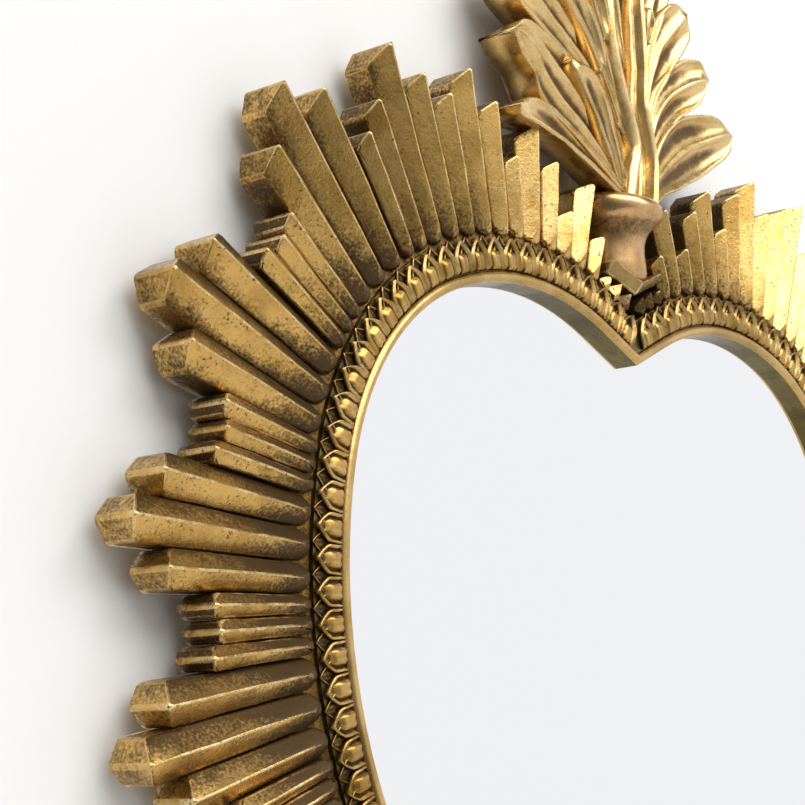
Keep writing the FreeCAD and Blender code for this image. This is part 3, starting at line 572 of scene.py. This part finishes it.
def ray_mesh(name):
    shape = merged(name)
    for ray in separate_rays(shape):
        fill_root(ray)
    bmesh.ops.triangulate(shape, faces=[f for f in shape.faces if len(f.verts) > 4])
    for pieces in (4, 3, 2):
        long_edges = [e for e in shape.edges if e.calc_length() > pieces * RAY_STEP]
        if long_edges:
            bmesh.ops.subdivide_edges(shape, edges=long_edges, cuts=pieces, use_grid_fill=True)
    for vertex in shape.verts:
        if vertex.co.y < -RAY_BACK:
            wander = noise.noise_vector(vertex.co / RAY_WAVE_LENGTH)
            vertex.co += Vector((wander.x, 1.2 * wander.y, wander.z)) * RAY_WAVE
    soften(shape, [e for e in ray_corners(shape) if upright(e)], RAY_CORNER, 3)
    front = [e for e in ray_corners(shape) if min(v.co.y for v in e.verts) < -RAY_BACK]
    edges = soften(shape, front, RAY_EDGE)
    crisp_facets(shape)
    # painted highlights along the softened edges, strongest on the crests, with the wear of the leaf
    # there; elsewhere the painted pool of light brightens the faces
    highlight_and_wear = []
    for face in shape.faces:
        for vertex in face.verts:
            worn_and_lit = 0.8 - 0.65 * eased(below_crest(vertex.co), 0.3, 0.8)
            worn_and_lit *= eased(from_heart(vertex.co), RAY_ROOT + 4 * MM, RAY_ROOT + 16 * MM)
            highlight_and_wear.append(worn_and_lit if face in edges else 0.5 * painted_light_pool(vertex.co))
    mesh = bpy.data.meshes.new(name + "_gilt")
    shape.to_mesh(mesh)
    shape.free()
    darkened = [ray_shade_and_wash(mesh.vertices[v].co, face.normal) for face in mesh.polygons for v in face.vertices]
    store(mesh, darkened, highlight_and_wear, "CORNER")
    return mesh


for name in sorted(nodes):
    if name.startswith("ray_"):
        piece(name + "_gilt", ray_mesh(name), ray_gilt, name)

# Ray cove: the sloping ground between the ray roots, cast in one with the rays. It is gilded dark
# brown all over, a painted shade for the deep pockets between the roots.
COVE_START = 30 * MM
COVE_STEP = 4 * MM
# its section in millimetres: how far out from the heart line, and how far in front of the back
COVE = [(8.0, 10.1), (8.0, 18.2), (12, 17.2), (17, 15.4), (22, 13.2), (22, 10.1)]


def cove_mesh():
    stations = trimmed(heart_half(COVE_STEP), COVE_START)
    whole = [(x, z, heading, 1) for x, z, heading in stations]
    whole += [(-x, z, heading, -1) for x, z, heading in reversed(stations[:-1])]
    points, faces = [], []
    for x, z, heading, side in whole:
        for out, depth in COVE:
            points.append((x + side * math.sin(heading) * out * MM, -depth * MM,
                           z - math.cos(heading) * out * MM))
    count = len(COVE)
    for first in range(0, len(points) - count, count):
        for index in range(count):
            last = (index + 1) % count
            faces.append((first + index, first + last, first + count + last, first + count + index))
    faces.append(tuple(range(count)))
    faces.append(tuple(range(len(points) - count, len(points))))
    mesh = bpy.data.meshes.new("ray_cove_gilt")
    mesh.from_pydata(points, [], faces)
    mesh.shade_smooth()
    mesh.set_sharp_from_angle(angle=math.radians(35))
    return outward(mesh)


cove_gilt = gilt("cove_gilding", TONED, (0.22, 0.12, 0.03), (0.04, 0.02, 0.005), WORN_AND_LIT_LEAF,
                 specks=0.9, polish=0.4, bump=0.4, shade_and_wash=0.55)
piece("ray_cove_gilt", cove_mesh(), cove_gilt)

# Finial plate: a cornice bent over the cusp, cast in resin and screwed on from behind. All its
# edges stand free, and the leaf along them is worn, with a painted highlight on it.
PLATE_EDGE = 0.7 * MM
PLATE_SHARP = 25
PLATE_SUNK = 0.4


def plate_mesh():
    shape = merged("finial_plate")
    edges = soften(shape, sharp(shape, PLATE_SHARP), PLATE_EDGE)
    highlight_and_wear = [1.0 if face in edges else 0.0 for face in shape.faces]
    mesh = bpy.data.meshes.new("finial_plate_gilt")
    shape.to_mesh(mesh)
    shape.free()
    mesh.shade_smooth()
    mesh.set_sharp_from_angle(angle=math.radians(40))
    store(mesh, [PLATE_SUNK] * len(mesh.polygons), highlight_and_wear, "FACE")
    return mesh


plate_gilt = gilt("plate_gilding", (0.46, 0.31, 0.12), (0.33, 0.21, 0.07), WASH_AND_SHADE, WORN_AND_LIT_LEAF,
                  specks=0.5, polish=0.3, bump=0.2)
piece("finial_plate_gilt", plate_mesh(), plate_gilt, "finial_plate")

# Finial throat: a half-round collar that stands on the plate, waisted, with a full rolled lip.
# It is cast, gilded with a coppery leaf and burnished. Brown wash with painted shade lies under the lip,
# at the foot and on the top, and a painted highlight runs along the top of the lip.
THROAT_STEPS = 40
# in millimetres: the depth of its axis, the unevenness of its round and the roll of its lip
THROAT_DEPTH = 10.3
THROAT_WAVE = 0.35
LIP_ROLL = 0.8
# from the foot on the plate up over the lip to its top: radius, height above the cusp and wash with
# painted shade
THROAT_PROFILE = [
    (11.5, 23.5, 0.9), (13.4, 25.4, 0.75), (14.6, 27.3, 0.4), (15.1, 30, 0.25), (14.9, 34, 0.2),
    (14.6, 38, 0.25), (14.8, 42, 0.4), (15.8, 45.5, 0.6), (17.6, 48.3, 0.68), (20, 50.3, 0.6),
    (22.2, 52, 0.36), (23.6, 54, 0.12), (24, 56.4, 0), (23.4, 58.6, 0), (22.2, 60.1, 0),
    (20.4, 60.9, 0.1), (18, 61.1, 0.4), (10, 61, 0.8), (0.01, 61, 0.9),
]


def throat_mesh():
    points, faces, shade_and_wash, highlight_and_wear = [], [], [], []
    for step in range(THROAT_STEPS + 1):
        turn = math.pi * step / THROAT_STEPS
        for radius, height, darkened in THROAT_PROFILE:
            full = radius + THROAT_WAVE * math.sin(3 * turn + 0.2 * height) * (radius > 16)
            roll = LIP_ROLL * math.sin(2 * turn + 1.1) * max(0, min(1, (height - 50) / 6))
            points.append((-full * math.cos(turn) * MM, -(THROAT_DEPTH + full * math.sin(turn)) * MM,
                           CUSP_HEIGHT + (height + roll) * MM))
            shade_and_wash.append(darkened)
            # a painted highlight along the top of the lip
            highlight_and_wear.append(0.5 if 57 < height < 60.5 else 0.0)
    count = len(THROAT_PROFILE)
    for step in range(THROAT_STEPS):
        for level in range(count - 1):
            first = step * count + level
            faces.append((first, first + count, first + count + 1, first + 1))
    last = THROAT_STEPS * count
    faces.append(tuple(range(count)) + tuple(range(last + count - 1, last - 1, -1)))
    faces.append(tuple(step * count for step in range(THROAT_STEPS, -1, -1)))
    faces.append(tuple(step * count + count - 1 for step in range(THROAT_STEPS + 1)))
    mesh = bpy.data.meshes.new("finial_throat_gilt")
    mesh.from_pydata(points, [], faces)
    mesh.shade_smooth()
    mesh.set_sharp_from_angle(angle=math.radians(50))
    store(mesh, shade_and_wash, highlight_and_wear)
    return outward(mesh)


throat_gilt = gilt("throat_gilding", (0.64, 0.40, 0.19), (0.42, 0.25, 0.09), (0.10, 0.050, 0.013),
                   WORN_AND_LIT_LEAF, specks=0.5, polish=0.2, bump=0.12)
piece("finial_throat_gilt", throat_mesh(), throat_gilt, "finial_throat")

# Flame finial: leaves with hollow flutes between sharp ridges, two twisted strands and a web
# behind them, carved as one, cast in resin in parts, gilded and burnished on the ridges. Their finish
# paints highlights on the ridges, rims and tips, and shade in the hollows, at the roots and down the
# sides.
FLAME_BACK = 10.2
# each leaf in millimetres: its two edges from root to tip as (right of the axis, above the cusp),
# its flutes, the depth of its front at root, middle and tip, and how far the edges cup forward
LEAVES = [
    ("leaf_left_lower", [(-8, 58), (-25, 66), (-45, 73), (-64, 77), (-80, 78), (-87, 80)],
     [(-8, 62), (-24, 71), (-43, 80), (-60, 86), (-74, 87), (-85, 84)], 1, (26, 25, 27.5), 1.2),
    ("leaf_left_upper", [(-7, 66), (-15, 86), (-25, 101), (-41, 111), (-61, 118), (-80, 126), (-89, 135)],
     [(-4, 66), (-9, 92), (-17, 113), (-30, 129), (-46, 139), (-63, 146), (-79, 147), (-88, 141)], 3,
     (23, 23.5, 27), 2.0),
    ("leaf_left_large",
     [(-9, 60), (-25, 70), (-45, 80), (-62, 86), (-70, 92), (-74, 99), (-82, 104), (-88, 109)],
     [(-7, 62), (-14, 78), (-22, 92), (-34, 104), (-50, 112), (-66, 116), (-78, 118), (-87, 114)], 3,
     (26, 25, 28), 2.0),
    ("leaf_left_large", [(-14, 64), (-26, 80), (-36, 93), (-44, 102), (-50, 107)],
     [(-12, 64), (-18, 82), (-25, 97), (-35, 107), (-47, 111)], 1, (26.5, 28.4, 28.2), 0.8),
    ("flame_left_side", [(-7, 88), (-18, 107), (-27, 121), (-41, 134), (-56, 146), (-68, 160)],
     [(-5, 92), (-10, 118), (-18, 141), (-30, 156), (-46, 167), (-60, 173), (-69, 168)], 2,
     (25, 25, 27.5), 2.0),
    ("flame_left_side", [(-24, 110), (-30, 117), (-38, 126), (-47, 133), (-55, 138)],
     [(-22, 113), (-24, 123), (-31, 134), (-41, 142), (-53, 142)], 1, (27.6, 27.4, 28), 1.6),
    ("flame_left_top", [(-7, 112), (-16, 134), (-24, 152), (-33, 167), (-38, 183)],
     [(-4, 118), (-6, 142), (-10, 162), (-18, 178), (-28, 189), (-37, 189)], 2, (25.5, 25.5, 27), 2.0),
    ("flame_left_top", [(-21, 125), (-26, 134), (-31, 144), (-35, 153)],
     [(-18, 128), (-19, 139), (-24, 150), (-33, 156)], 1, (27.8, 27.6, 28), 1.5),
    ("leaf_right_lower", [(10, 58), (24, 67), (40, 74), (54, 81), (68, 89), (79, 98), (82, 104)],
     [(8, 62), (17, 80), (27, 94), (41, 105), (56, 110), (70, 111), (80, 107)], 2, (25.5, 24, 28.5), 3.0),
    ("leaf_right_middle", [(11, 66), (22, 86), (32, 98), (43, 107), (55, 115), (64, 125)],
     [(9, 68), (14, 95), (22, 113), (34, 125), (46, 133), (57, 135), (64, 131)], 2, (25, 23.5, 28), 2.8),
    ("leaf_right_upper", [(12, 88), (21, 107), (31, 120), (41, 132), (50, 144), (51, 153)],
     [(10, 92), (13, 116), (19, 134), (27, 148), (37, 157), (47, 158)], 2, (25.5, 24, 27.5), 2.6),
    ("flame_right_top", [(13, 112), (22, 133), (30, 147), (37, 163), (38, 178)],
     [(11, 116), (13, 140), (17, 158), (24, 174), (33, 182)], 2, (25.5, 24.5, 26.5), 1.5),
    ("flame_right_top", [(13.5, 132), (17, 140), (17.5, 148)], [(12.5, 133), (13, 142), (15.5, 150)], 1,
     (28, 28.5, 28), 0.6),
]
FLUTE_DEEP = 3.2
FLUTE_COLUMNS = [0, 0.1, 0.22, 0.36, 0.5, 0.64, 0.78, 0.9]
LEAF_DOME = 2.4
LEAF_SPINE = 1.2
LEAF_RIM = 0.8
LEAF_ROWS = 30
TIP_START = 0.86
CARVING_STEP = 11


def through(points, share):
    # a point of the smooth line through some points
    place = share * (len(points) - 1)
    index = min(int(place), len(points) - 2)
    part = place - index
    near, far = Vector(points[index]), Vector(points[index + 1])
    before = Vector(points[index - 1]) if index else 2 * near - far
    after = Vector(points[index + 2]) if index + 2 < len(points) else 2 * far - near
    return 0.5 * (2 * near + (far - before) * part + (2 * before - 5 * near + 4 * far - after) * part ** 2
                  + (3 * near - before - 3 * far + after) * part ** 3)


def skinned(name, rows, shade_and_wash, highlight_and_wear):
    # closes rows of points, each a loop round the piece, into one shell
    count = len(rows[0])
    points = [(x * MM, -depth * MM, CUSP_HEIGHT + z * MM) for row in rows for x, z, depth in row]
    faces = []
    for step in range(len(rows) - 1):
        for index in range(count):
            first, second = step * count + index, step * count + (index + 1) % count
            faces.append((first, second, second + count, first + count))
    faces.append(tuple(range(count - 1, -1, -1)))
    faces.append(tuple(range(len(points) - count, len(points))))
    mesh = bpy.data.meshes.new(name)
    mesh.from_pydata(points, [], faces)
    mesh.shade_smooth()
    store(mesh, sum(shade_and_wash, []), sum(highlight_and_wear, []))
    return outward(mesh)


def carved(x, z, depth, hand):
    # the small wander of hand carving
    wander = noise.noise_vector(Vector((x, z, depth)) / CARVING_STEP)
    return x + hand * wander.x, z + hand * wander.y, depth + 0.6 * hand * wander.z


def leaf_mesh(name, low, high, flutes, depths, cup):
    rows, shade_and_wash, highlight_and_wear = [], [], []
    root, middle, tip = depths
    columns = [(k + f) / flutes for k in range(flutes) for f in FLUTE_COLUMNS] + [1.0]
    for step in range(LEAF_ROWS + 1):
        share = 1 - (1 - step / LEAF_ROWS) ** 1.8
        below, above = through(low, share), through(high, share)
        aside = (above - below).normalized()
        round_tip = math.sqrt(max(0.03, 1 - max(0, (share - TIP_START) / (1 - TIP_START)) ** 2))
        centre = (below + above) / 2
        below, above = centre.lerp(below, round_tip), centre.lerp(above, round_tip)
        front = root + (4 * middle - 3 * root - tip) * share
        front += (2 * root - 4 * middle + 2 * tip) * share ** 2
        fade = eased(share, 0.02, 0.3) * (1 - 0.8 * eased(share, 0.66, 1.0))
        shade = 0.55 * (1 - eased(share, 0.0, 0.3))
        cupped = cup * share * (1 - 0.8 * eased(share, 0.75, 1.0))
        dome = LEAF_DOME * eased(share, 0.5, 0.82) * (1 - 0.6 * eased(share, TIP_START, 1.0))
        edge = front + cupped
        half_way = FLAME_BACK + 0.45 * (edge - FLAME_BACK)
        # each spot round the leaf: place, depth, painted shade, painted highlight and how far the carving
        # wanders
        row = [(below + aside * 1.2, FLAME_BACK, 0.75, 0, 0),
               (below - aside * 0.2, half_way, 0.4, 0, 0.3),
               (below - aside * 0.7, edge - 1.3, 0.2, 0.2, 0.5)]
        for column in columns:
            across = 2 * column - 1
            part = column * flutes - int(column * flutes)
            hollow = 1 - (2 * part - 1) ** 2
            outer = min(column, 1 - column) * flutes
            rim = LEAF_RIM * max(0, 1 - outer / 0.2) * (1 - eased(share, 0.7, 1.0))
            depth = front + cupped * across ** 2 - FLUTE_DEEP * hollow * fade + rim
            depth += LEAF_SPINE * (1 - across ** 2) * fade + dome * (1 - across ** 2)
            # painted highlight on the flute ridges and rims, and a painted sheen over the faces towards
            # the tip
            ridge = max(0, 1 - min(part, 1 - part) / 0.09)
            painted_sheen = 0.5 * (1 - hollow) * fade + 0.5 * eased(share, 0.55, 0.9)
            row.append((below.lerp(above, column), depth, 0.9 * hollow * fade + shade,
                        max(0.8 * ridge * fade, rim, painted_sheen), 0.5))
        row += [(above + aside * 0.7, edge - 1.3, 0.2, 0.2, 0.5),
                (above + aside * 0.2, half_way, 0.4, 0, 0.3),
                (above - aside * 1.2, FLAME_BACK, 0.75, 0, 0)]
        rows.append([carved(flat.x, flat.y, depth, hand) for flat, depth, darkened, brightened, hand in row])
        shade_and_wash.append([spot[2] for spot in row])
        highlight_and_wear.append([spot[3] for spot in row])
    return skinned(name, rows, shade_and_wash, highlight_and_wear)


# the finial's leaf colours are set lighter than the rays', which paints light onto the whole finial
flame_gilt = gilt("flame_gilding", (0.80, 0.55, 0.235), (0.62, 0.395, 0.13), (0.12, 0.062, 0.014),
                  WORN_AND_LIT_LEAF, specks=0.25, polish=0.18, bump=0.12)
for name in dict.fromkeys(leaf[0] for leaf in LEAVES):
    parts = [leaf_mesh(name, *leaf[1:]) for leaf in LEAVES if leaf[0] == name]
    piece(name + "_gilt", joined(name + "_gilt", parts), flame_gilt, name)

# Strands: two ribbons that twist upward side by side, each with a high crest and a lower ledge,
# with a deep hollow left between them. A painted highlight runs along each crest, and painted shade
# lies on the ledge, down the sides and at the root.
STRAND_FLOOR = 17
STRAND_CREST = 30
STRAND_ROWS = 44
# each spine from root to tip: right of the axis, above the cusp and half the width there
STRANDS = [
    ("flame_strand_left",
     [(-8, 57, 5.4), (-3, 70, 6), (1.5, 82, 6.4), (-0.5, 94, 7), (-5, 106, 7.2), (-9, 120, 6.8),
      (-10.5, 134, 6.2), (-10, 148, 5.6), (-5, 172, 4), (0, 196, 0.5)], 1),
    ("flame_strand_right",
     [(7, 57, 4.4), (10, 70, 4.2), (11.5, 82, 4), (9, 96, 4.2), (8, 106, 4.2), (10.5, 122, 4.2),
      (11, 144, 3.6), (13, 162, 2.6), (12, 180, 0.5)], -1),
]
# across a strand over its crest to its ledge: place, height, painted shade and painted highlight
STRAND_SECTION = [
    (-1, 0.25, 0.5, 0), (-0.86, 0.72, 0.12, 0.2), (-0.55, 0.97, 0, 0.7), (-0.3, 1, 0, 1),
    (0, 0.86, 0.1, 0.2), (0.22, 0.62, 0.45, 0), (0.4, 0.52, 0.6, 0), (0.66, 0.56, 0.3, 0.3),
    (0.86, 0.48, 0.2, 0.5), (1, 0.12, 0.6, 0),
]


def strand_mesh(name, spine, hand):
    rows, shade_and_wash, highlight_and_wear = [], [], []
    for step in range(STRAND_ROWS + 1):
        share = step / STRAND_ROWS
        here = through(spine, share)
        ahead = through(spine, min(1, share + 0.01)) - through(spine, max(0, share - 0.01))
        aside = Vector((ahead.y, -ahead.x)).normalized()
        middle, half = Vector((here.x, here.y)), here.z
        tall = (STRAND_CREST - STRAND_FLOOR) * (1 - 0.25 * share) * min(1, 0.35 + half / 5)
        # painted shade at the root of the strand and down its sides
        dark = 0.5 * (1 - eased(share, 0, 0.12))
        row = []
        for across, height, darkened, brightened in STRAND_SECTION:
            flat = middle + aside * (hand * across * half)
            row.append(carved(flat.x, flat.y, STRAND_FLOOR + height * tall, 0.45))
        for across in (1.05, -1.05):
            flat = middle + aside * (hand * across * half)
            row.append((flat.x, flat.y, FLAME_BACK))
        rows.append(row)
        shade_and_wash.append([spot[2] + dark for spot in STRAND_SECTION] + [0.9, 0.9])
        highlight_and_wear.append([spot[3] * (1 - dark) for spot in STRAND_SECTION] + [0, 0])
    return skinned(name, rows, shade_and_wash, highlight_and_wear)


for name, spine, hand in STRANDS:
    piece(name + "_gilt", strand_mesh(name + "_gilt", spine, hand), flame_gilt, name)

# Web: the ground behind leaves and strands, which closes the hollows and takes the screws.
# It lies deep, and its gilding is painted dark as the shade there.
WEB_FRONT = 14.5
WEB_SHADE = 0.8
WEB_ROWS = 24
# its spine from root to tip: right of the axis, above the cusp and half the width there
WEB = [(0, 57, 16), (2, 70, 15), (2, 90, 14), (1, 120, 13), (1, 140, 10), (2, 156, 6), (3, 172, 1)]
# across the web from its left edge: place, height of the front and how much painted shade
WEB_SECTION = [(-1, 0, 0.9), (-0.95, -1, 0.9), (-0.7, 0, 0.8), (-0.3, 2.4, 0.5), (0, 3.6, 0.2),
               (0.3, 2.4, 0.5), (0.7, 0, 0.8), (0.95, -1, 0.9), (1, 0, 0.9)]
web_rows, web_shade = [], []
for step in range(WEB_ROWS + 1):
    x, z, half = through(WEB, step / WEB_ROWS)
    rise = eased(step / WEB_ROWS, 0.35, 0.7)
    web_rows.append([(x + side * half, z, FLAME_BACK if abs(side) == 1 else WEB_FRONT + rise * height)
                     for side, height, darkened in WEB_SECTION])
    web_shade.append([WEB_SHADE + (darkened - WEB_SHADE) * rise for side, height, darkened in WEB_SECTION])
web_gilt = gilt("web_gilding", LEAF, TONED, (0.035, 0.019, 0.005), WORN_AND_LIT_LEAF,
                specks=0.6, polish=0.35, bump=0.3, shade_and_wash=0.1)
web = skinned("flame_web_gilt", web_rows, web_shade, [[0.0] * len(WEB_SECTION)] * (WEB_ROWS + 1))
piece("flame_web_gilt", web, web_gilt, "flame_back")

# Mirror glass: a heart of float glass, silvered behind, which lies in the frame against the lip.
# Only a breath of haze breaks its polish.
glass, tree, shader = new_finish("silvered_glass")
shader.inputs["Base Color"].default_value = (0.90, 0.905, 0.915, 1)
shader.inputs["Metallic"].default_value = 1.0
haze = step_up(tree, grain(tree, 14, 4), 0.45, 0.75)
tree.links.new(maths(tree, "MULTIPLY_ADD", haze, 0.02, 0.006), shader.inputs["Roughness"])
paint(nodes["mirror_glass"], glass)

# Backing board: brown fibreboard cut to the heart and screwed on behind the glass. It is pressed
# from wood fibre, smooth but mottled.
FIBRE_STRETCH = 2.6
board, tree, shader = new_finish("brown_fibreboard")
place = add(tree, "ShaderNodeTexCoord").outputs["Object"]
fibre = add(tree, "ShaderNodeMapping", {"Vector": place, "Scale": (1, 1, FIBRE_STRETCH)}).outputs[0]
mottle = step_up(tree, grain(tree, 420, 5, fibre), 0.36, 0.66)
cloud = step_up(tree, grain(tree, 18, 3), 0.3, 0.7)
tan = mix_colour(tree, mottle, (0.145, 0.080, 0.038, 1), (0.245, 0.150, 0.080, 1))
tree.links.new(mix_colour(tree, cloud, tan, (0.20, 0.115, 0.058, 1)), shader.inputs["Base Color"])
rough = maths(tree, "ADD", maths(tree, "MULTIPLY", mottle, 0.12), 0.62)
tree.links.new(rough, shader.inputs["Roughness"])
dent(tree, shader, mottle, strength=0.3, deep=0.2 * MM)
paint(nodes["backing_board"], board)


# Screws, hanger straps and rings: steel, plated with zinc and dulled by tumbling. The straps and
# rings came out a little blue, the screws yellow.
def plated(name, tint, polish):
    made, tree, shader = new_finish(name)
    shader.inputs["Metallic"].default_value = 1.0
    bloom = step_up(tree, grain(tree, 260, 4), 0.35, 0.7)
    scuff = step_up(tree, grain(tree, 1500, 3), 0.45, 0.7)
    dull = tuple(0.72 * c for c in tint)
    tree.links.new(mix_colour(tree, bloom, (*tint, 1), (*dull, 1)), shader.inputs["Base Color"])
    rough = maths(tree, "ADD", maths(tree, "MULTIPLY", bloom, 0.16), polish)
    rough = maths(tree, "ADD", rough, maths(tree, "MULTIPLY", scuff, 0.08))
    tree.links.new(rough, shader.inputs["Roughness"])
    dent(tree, shader, scuff, strength=0.15, deep=0.1 * MM)
    return made


zinc = plated("zinc_plate", (0.62, 0.65, 0.68), polish=0.26)
yellow_zinc = plated("yellow_zinc_plate", (0.66, 0.56, 0.34), polish=0.24)
for name in ("hanger_strap_left", "hanger_strap_right", "hanger_ring_left", "hanger_ring_right"):
    paint(nodes[name], zinc)
for name in ("board_screws", "hanger_screws", "finial_screws"):
    paint(nodes[name], yellow_zinc)

# Wall bumpers: two discs of soft dark grey rubber, stuck low on the back to keep the frame off the
# wall. They take a little dust.
rubber, tree, shader = new_finish("soft_rubber_pad")
dust = step_up(tree, grain(tree, 700, 4), 0.45, 0.72)
grey = mix_colour(tree, dust, (0.055, 0.055, 0.058, 1), (0.16, 0.155, 0.15, 1))
tree.links.new(grey, shader.inputs["Base Color"])
rough = maths(tree, "ADD", maths(tree, "MULTIPLY", dust, 0.25), 0.5)
tree.links.new(rough, shader.inputs["Roughness"])
dent(tree, shader, dust, strength=0.2, deep=0.1 * MM)
for name in ("wall_bumper_left", "wall_bumper_right"):
    paint(nodes[name], rubber)

# Room: a white plaster wall that the mirror hangs on and a pale floor below it. From behind the
# wall is clear, and lets light onto the back of the mirror, so that the fittings there can be seen.
WALL_HALF = 6.0
WALL_PLACE = 0.4 * MM
FLOOR_DROP = -1.1
FLOOR_FRONT = -2.2
FLOOR_LEFT = -0.5
# light that comes from no further off than this passes the wall
CLOSE = 12 * MM


def plaster(name, colour, see_through_back):
    made, tree, shader = new_finish(name)
    paler, darker = (*colour, 1), (*[0.985 * c for c in colour], 1)
    tree.links.new(mix_colour(tree, grain(tree, 3, 2), paler, darker), shader.inputs["Base Color"])
    shader.inputs["Roughness"].default_value = 0.9
    dent(tree, shader, grain(tree, 220, 3), strength=0.08, deep=1 * MM)
    if see_through_back:
        clear = add(tree, "ShaderNodeBsdfTransparent")
        behind = add(tree, "ShaderNodeNewGeometry").outputs["Backfacing"]
        ray = add(tree, "ShaderNodeLightPath").outputs
        bounced = maths(tree, "SUBTRACT", 1.0, ray["Is Camera Ray"])
        near = maths(tree, "LESS_THAN", ray["Ray Length"], CLOSE)
        unseen = maths(tree, "MAXIMUM", behind, maths(tree, "MULTIPLY", bounced, near))
        both = add(tree, "ShaderNodeMixShader", {0: unseen, 1: shader.outputs[0], 2: clear.outputs[0]})
        tree.links.new(both.outputs[0], tree.nodes["Material Output"].inputs["Surface"])
    return made


def sheet_of(name, corners, material):
    mesh = bpy.data.meshes.new(name)
    mesh.from_pydata(corners, [], [tuple(range(len(corners)))])
    made = bpy.data.objects.new(name, mesh)
    bpy.context.scene.collection.objects.link(made)
    made.data.materials.append(material)


sheet_of("room_wall", [(-WALL_HALF, WALL_PLACE, FLOOR_DROP), (WALL_HALF, WALL_PLACE, FLOOR_DROP),
                       (WALL_HALF, WALL_PLACE, WALL_HALF), (-WALL_HALF, WALL_PLACE, WALL_HALF)],
         plaster("white_plaster", (0.90, 0.896, 0.889), see_through_back=True))
sheet_of("room_floor", [(FLOOR_LEFT, FLOOR_FRONT, FLOOR_DROP), (WALL_HALF, FLOOR_FRONT, FLOOR_DROP),
                        (WALL_HALF, WALL_PLACE, FLOOR_DROP), (FLOOR_LEFT, WALL_PLACE, FLOOR_DROP)],
         plaster("pale_floor", (0.82, 0.815, 0.80), see_through_back=False))

# Light: a white studio, brightest to the right, with a wide soft box high in front and a square
# lamp to the right of it. What lies behind the wall is pale, and lights the back of the mirror.
LAMP_PLACE = Vector((0.55, -1.5, 1.35))
LAMP_TARGET = Vector((0.0, 0, 0.1))
LAMP_SIZE = 1.1
LAMP_POWER = 13
DIM_LIGHT = (0.20, 0.20, 0.205, 1)
FAR_LIGHT = (0.8, 0.8, 0.8, 1)
FRONT_LIGHT = (0.66, 0.66, 0.65, 1)
SIDE_LIGHT = (0.965, 0.965, 0.98, 1)
SOFTBOX_LIGHT = (4.2, 4.15, 4.0, 1)
scene = bpy.context.scene
world = bpy.data.worlds.new("studio")
scene.world = world
world.use_nodes = True
tree = world.node_tree
back = tree.nodes["Background"]
way = add(tree, "ShaderNodeTexCoord").outputs["Generated"]


def glow(direction, edge, core):
    # a soft round patch of the studio, from its edge to its full core
    facing = add(tree, "ShaderNodeVectorMath", {0: way, 1: Vector(direction).normalized()},
                 operation="DOT_PRODUCT").outputs["Value"]
    return step_up(tree, facing, edge, core)


split = add(tree, "ShaderNodeSeparateXYZ", {0: way})
height, depth = split.outputs["Z"], split.outputs["Y"]
below = maths(tree, "SUBTRACT", 1.0, step_up(tree, height, 0.38, 0.62))
side = maths(tree, "MULTIPLY", glow((0.80, -0.55, -0.05), 0.1, 0.9), below)
front = maths(tree, "MULTIPLY", step_up(tree, depth, -0.45, -0.8), step_up(tree, height, -0.25, 0.1))
softbox = glow((-0.25, -0.66, 0.71), 0.905, 0.96)
far = mix_colour(tree, step_up(tree, depth, 0.0, 0.5), DIM_LIGHT, FAR_LIGHT)
dim = mix_colour(tree, front, far, FRONT_LIGHT)
base = mix_colour(tree, side, dim, SIDE_LIGHT)
lit = mix_colour(tree, softbox, base, SOFTBOX_LIGHT)
tree.links.new(lit, back.inputs["Color"])
back.inputs["Strength"].default_value = 1.0

key = bpy.data.lights.new("key_lamp", "AREA")
key.size = LAMP_SIZE
key.energy = LAMP_POWER
lamp = bpy.data.objects.new("key_lamp", key)
scene.collection.objects.link(lamp)
lamp.location = LAMP_PLACE
lamp.rotation_euler = (LAMP_TARGET - LAMP_PLACE).to_track_quat("-Z", "Y").to_euler()

# Camera: a long lens to the left of the mirror, at half its height and close to the wall. It looks
# up and along the wall at the upper left part.
YAW = math.radians(51.23)
PITCH = math.radians(9.42)
ROLL = math.radians(-2.35)
CAMERA_PLACE = (-0.6441, -0.4114, -0.0754)
LENS = 81.46
ahead = Vector((math.sin(YAW) * math.cos(PITCH), math.cos(YAW) * math.cos(PITCH), math.sin(PITCH)))
right = Vector((math.cos(YAW), -math.sin(YAW), 0))
up = right.cross(ahead)
level_right = right * math.cos(ROLL) + up * math.sin(ROLL)
level_up = up * math.cos(ROLL) - right * math.sin(ROLL)
lens = bpy.data.cameras.new("photo_camera")
lens.lens = LENS
lens.sensor_width = 36
lens.clip_start = 0.01
camera = bpy.data.objects.new("photo_camera", lens)
scene.collection.objects.link(camera)
axes = Matrix((level_right, level_up, -ahead)).transposed()
camera.matrix_world = Matrix.Translation(CAMERA_PLACE) @ axes.to_4x4()
scene.camera = camera
scene.view_settings.view_transform = "Standard"
